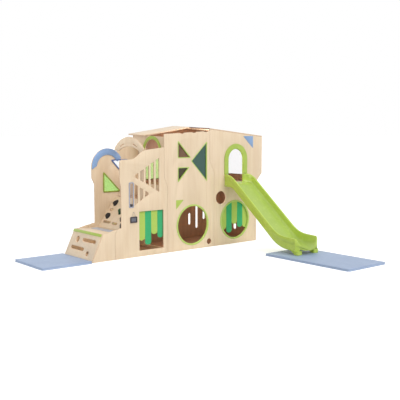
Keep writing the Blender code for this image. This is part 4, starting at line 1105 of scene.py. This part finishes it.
def floor_mat(name, seed):
    """A foam mat in a vinyl cover: soft shoulders, a slight crown and welted seams."""
    low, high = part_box(name)
    middle, top = (low + high) / 2, high.z
    half_x, half_y = (high.x - low.x) / 2, (high.y - low.y) / 2
    columns, rows = round(half_x * 2 / MAT_GRID), round(half_y * 2 / MAT_GRID)
    add = bpy.ops.mesh.primitive_grid_add
    piece = primitive(f"{name}_cover", add, x_subdivisions=columns, y_subdivisions=rows)
    inside_x, inside_y = half_x - MAT_SEAM, half_y - MAT_SEAM
    straight_x, straight_y = inside_x - MAT_CORNER, inside_y - MAT_CORNER
    for vertex in piece.data.vertices:
        u, v = vertex.co.x, vertex.co.y
        x, y = u * inside_x, v * inside_y
        over_x, over_y = abs(x) - straight_x, abs(y) - straight_y
        if over_x > 0 and over_y > 0:
            shrink = max(over_x, over_y) / math.hypot(over_x, over_y)
            x = math.copysign(straight_x + over_x * shrink, x)
            y = math.copysign(straight_y + over_y * shrink, y)
        edge = min(inside_x - abs(x), inside_y - abs(y))
        shoulder = 0.0045 * math.exp(-edge / 0.012)
        along = x if abs(v) > abs(u) else y
        pucker = 0.0007 * math.exp(-edge / 0.02) * math.sin(90 * along + seed)
        soft = 0.0011 * noise.noise(Vector((x * 5, y * 5, seed))) - 0.0012
        crown = 0.0008 * ((1 - u * u) * (1 - v * v) - 1)
        height = min(top, top - shoulder + pucker + soft + crown)
        vertex.co = (middle.x + x, middle.y + y, height)
    all_edit(piece)
    for drop, out in MAT_SIDE:
        bpy.ops.mesh.region_to_loop()
        bpy.ops.mesh.extrude_edges_move(TRANSFORM_OT_translate={"value": (0, 0, drop)})
        bpy.ops.object.mode_set(mode="OBJECT")
        for vertex in piece.data.vertices:
            way = vertex.co - middle
            near = Vector((max(abs(way.x) - straight_x, 0), max(abs(way.y) - straight_y, 0)))
            if vertex.select and near.length > 0:
                near.normalize()
                vertex.co.x += math.copysign(near.x * out, way.x)
                vertex.co.y += math.copysign(near.y * out, way.y)
        all_edit(piece)
    bpy.ops.mesh.region_to_loop()
    bpy.ops.object.mode_set(mode="OBJECT")
    for vertex in piece.data.vertices:
        if vertex.select:
            vertex.co.z = 0.0012
    bpy.ops.object.mode_set(mode="EDIT")
    bpy.ops.mesh.edge_face_add()
    leave_edit()
    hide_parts(name)
    finish_piece(piece, vinyl, smooth=60)
    for label, height in (("top", top - 0.0072), ("base", 0.0052)):
        outline = rounded(rectangle(-half_x, -half_y, half_x, half_y), MAT_CORNER, 8)
        outline = [(a * (1 - 0.0012 / half_x), b * (1 - 0.0012 / half_y)) for a, b in outline]
        points = []
        for index, point in enumerate(outline):
            after = outline[(index + 1) % len(outline)]
            steps = int(math.dist(point, after) / 0.05) + 1
            for step in range(steps):
                a, b = on_way(point, after, step / steps)
                points.append((middle.x + a, middle.y + b, height))
        tube(f"{name}_welt_{label}", points, 0.0028, piping_vinyl, closed=True)


# Room, light and camera

# Ambient level, and lamps as (name, strength, spread, turn in degrees)
SKY = 0.62
LAMPS = (("key_lamp", 1.52, 40, (48, 0, 14)), ("side_lamp", 0.62, 60, (60, 0, -75)))
# Soft lamps in the rooms, before the arch and under the slide, as (name, watts, radius, place)
FILLS = (
    ("tower_low_fill_left", 6.5, 0.08, (-0.45, -0.30, 0.86)),
    ("tower_low_fill_right", 7.0, 0.08, (0.45, -0.30, 0.86)),
    ("tower_high_fill_left", 4.0, 0.10, (-0.40, -0.25, 1.45)),
    ("tower_high_fill_right", 6.0, 0.10, (0.10, -0.30, 1.50)),
    ("climber_fill", 3.4, 0.06, (-1.18, -0.30, 0.72)),
    ("climber_high_fill", 0.5, 0.06, (-1.05, 0.10, 1.15)),
    ("ramp_fill", 1.0, 0.05, (-1.93, -0.05, 0.32)),
    ("roof_fill_left", 2.2, 0.06, (-0.38, -0.22, 1.56)),
    ("roof_fill_right", 1.4, 0.06, (0.02, -0.28, 1.60)),
    ("arch_fill", 2.6, 0.08, (-1.95, 0.20, 1.72)),
    ("under_slide_fill", 1.4, 0.10, (0.42, -0.85, 0.32)),
)
# The floor's own grey, and its glow as the camera sees it and as panes and gloss show it
FLOOR_GREY, GLOW_SEEN, GLOW_MIRRORED = 0.68, 0.58, 0.36
# The photo's camera: focal length and picture width in pixels, place, and turn down and right
FOCAL, PICTURE, SENSOR = 680.33, 400, 36
CAMERA_PLACE, CAMERA_DOWN, CAMERA_RIGHT = (-6.9887, -8.4933, 1.8), 5.722, 39.762


def studio_floor():
    """A floor that glows only to the camera, in panes and in gloss, and so lights nothing."""
    add = bpy.ops.mesh.primitive_plane_add
    floor = primitive("studio_floor", add, size=400, location=(0, 0, -0.0006))
    made, tree, shader = principled("studio_floor_white")
    shader.inputs["Base Color"].default_value = (FLOOR_GREY, FLOOR_GREY, FLOOR_GREY, 1)
    shader.inputs["Roughness"].default_value = 0.9
    shader.inputs["Specular IOR Level"].default_value = 0.0
    shader.inputs["Emission Color"].default_value = (1, 1, 1, 1)
    path = node(tree, "ShaderNodeLightPath").outputs
    mirrored = calc("MAXIMUM", path["Is Transmission Ray"], path["Is Glossy Ray"])
    mirrored = times(mirrored, GLOW_MIRRORED)
    glow = calc("MAXIMUM", times(path["Is Camera Ray"], GLOW_SEEN), mirrored)
    tree.links.new(glow, shader.inputs["Emission Strength"])
    dress(floor, made)


def studio_light():
    """A sky that is white to look at and dimmer as a light, and the lamps."""
    world = bpy.data.worlds.new("studio_sky")
    bpy.context.scene.world = world
    world.use_nodes = True
    tree = world.node_tree
    tree.nodes.clear()
    path = node(tree, "ShaderNodeLightPath").outputs
    bright = calc("MAXIMUM", path["Is Camera Ray"], path["Is Glossy Ray"])
    bright = calc("MAXIMUM", bright, path["Is Transmission Ray"])
    level = plus(times(bright, 1 - SKY), SKY)
    sky = node(tree, "ShaderNodeBackground", {"Color": (1, 1, 1, 1), "Strength": level})
    node(tree, "ShaderNodeOutputWorld", {"Surface": sky.outputs[0]})
    for name, strength, spread, turn in LAMPS:
        lamp = bpy.data.lights.new(name, "SUN")
        lamp.energy = strength
        lamp.angle = math.radians(spread)
        linked(name, lamp).rotation_euler = [math.radians(value) for value in turn]
    for name, watts, radius, place in FILLS:
        lamp = bpy.data.lights.new(name, "POINT")
        lamp.energy = watts
        lamp.shadow_soft_size = radius
        linked(name, lamp).location = place


def studio_camera():
    """The photo's own camera."""
    camera = bpy.data.cameras.new("camera")
    camera.sensor_width = SENSOR
    camera.lens = FOCAL * SENSOR / PICTURE
    camera.clip_end = 500
    holder = linked("camera", camera)
    holder.location = CAMERA_PLACE
    holder.rotation_euler = (math.radians(90 - CAMERA_DOWN), 0, math.radians(-CAMERA_RIGHT))
    bpy.context.scene.camera = holder
    bpy.context.scene.view_settings.view_transform = "Standard"


boards()
windows()
bands()
slide()
strips()
holds()
slider()
slate()
floor_mat("ramp_mat", 1.7)
floor_mat("slide_mat", 4.2)
studio_floor()
studio_light()
studio_camera()
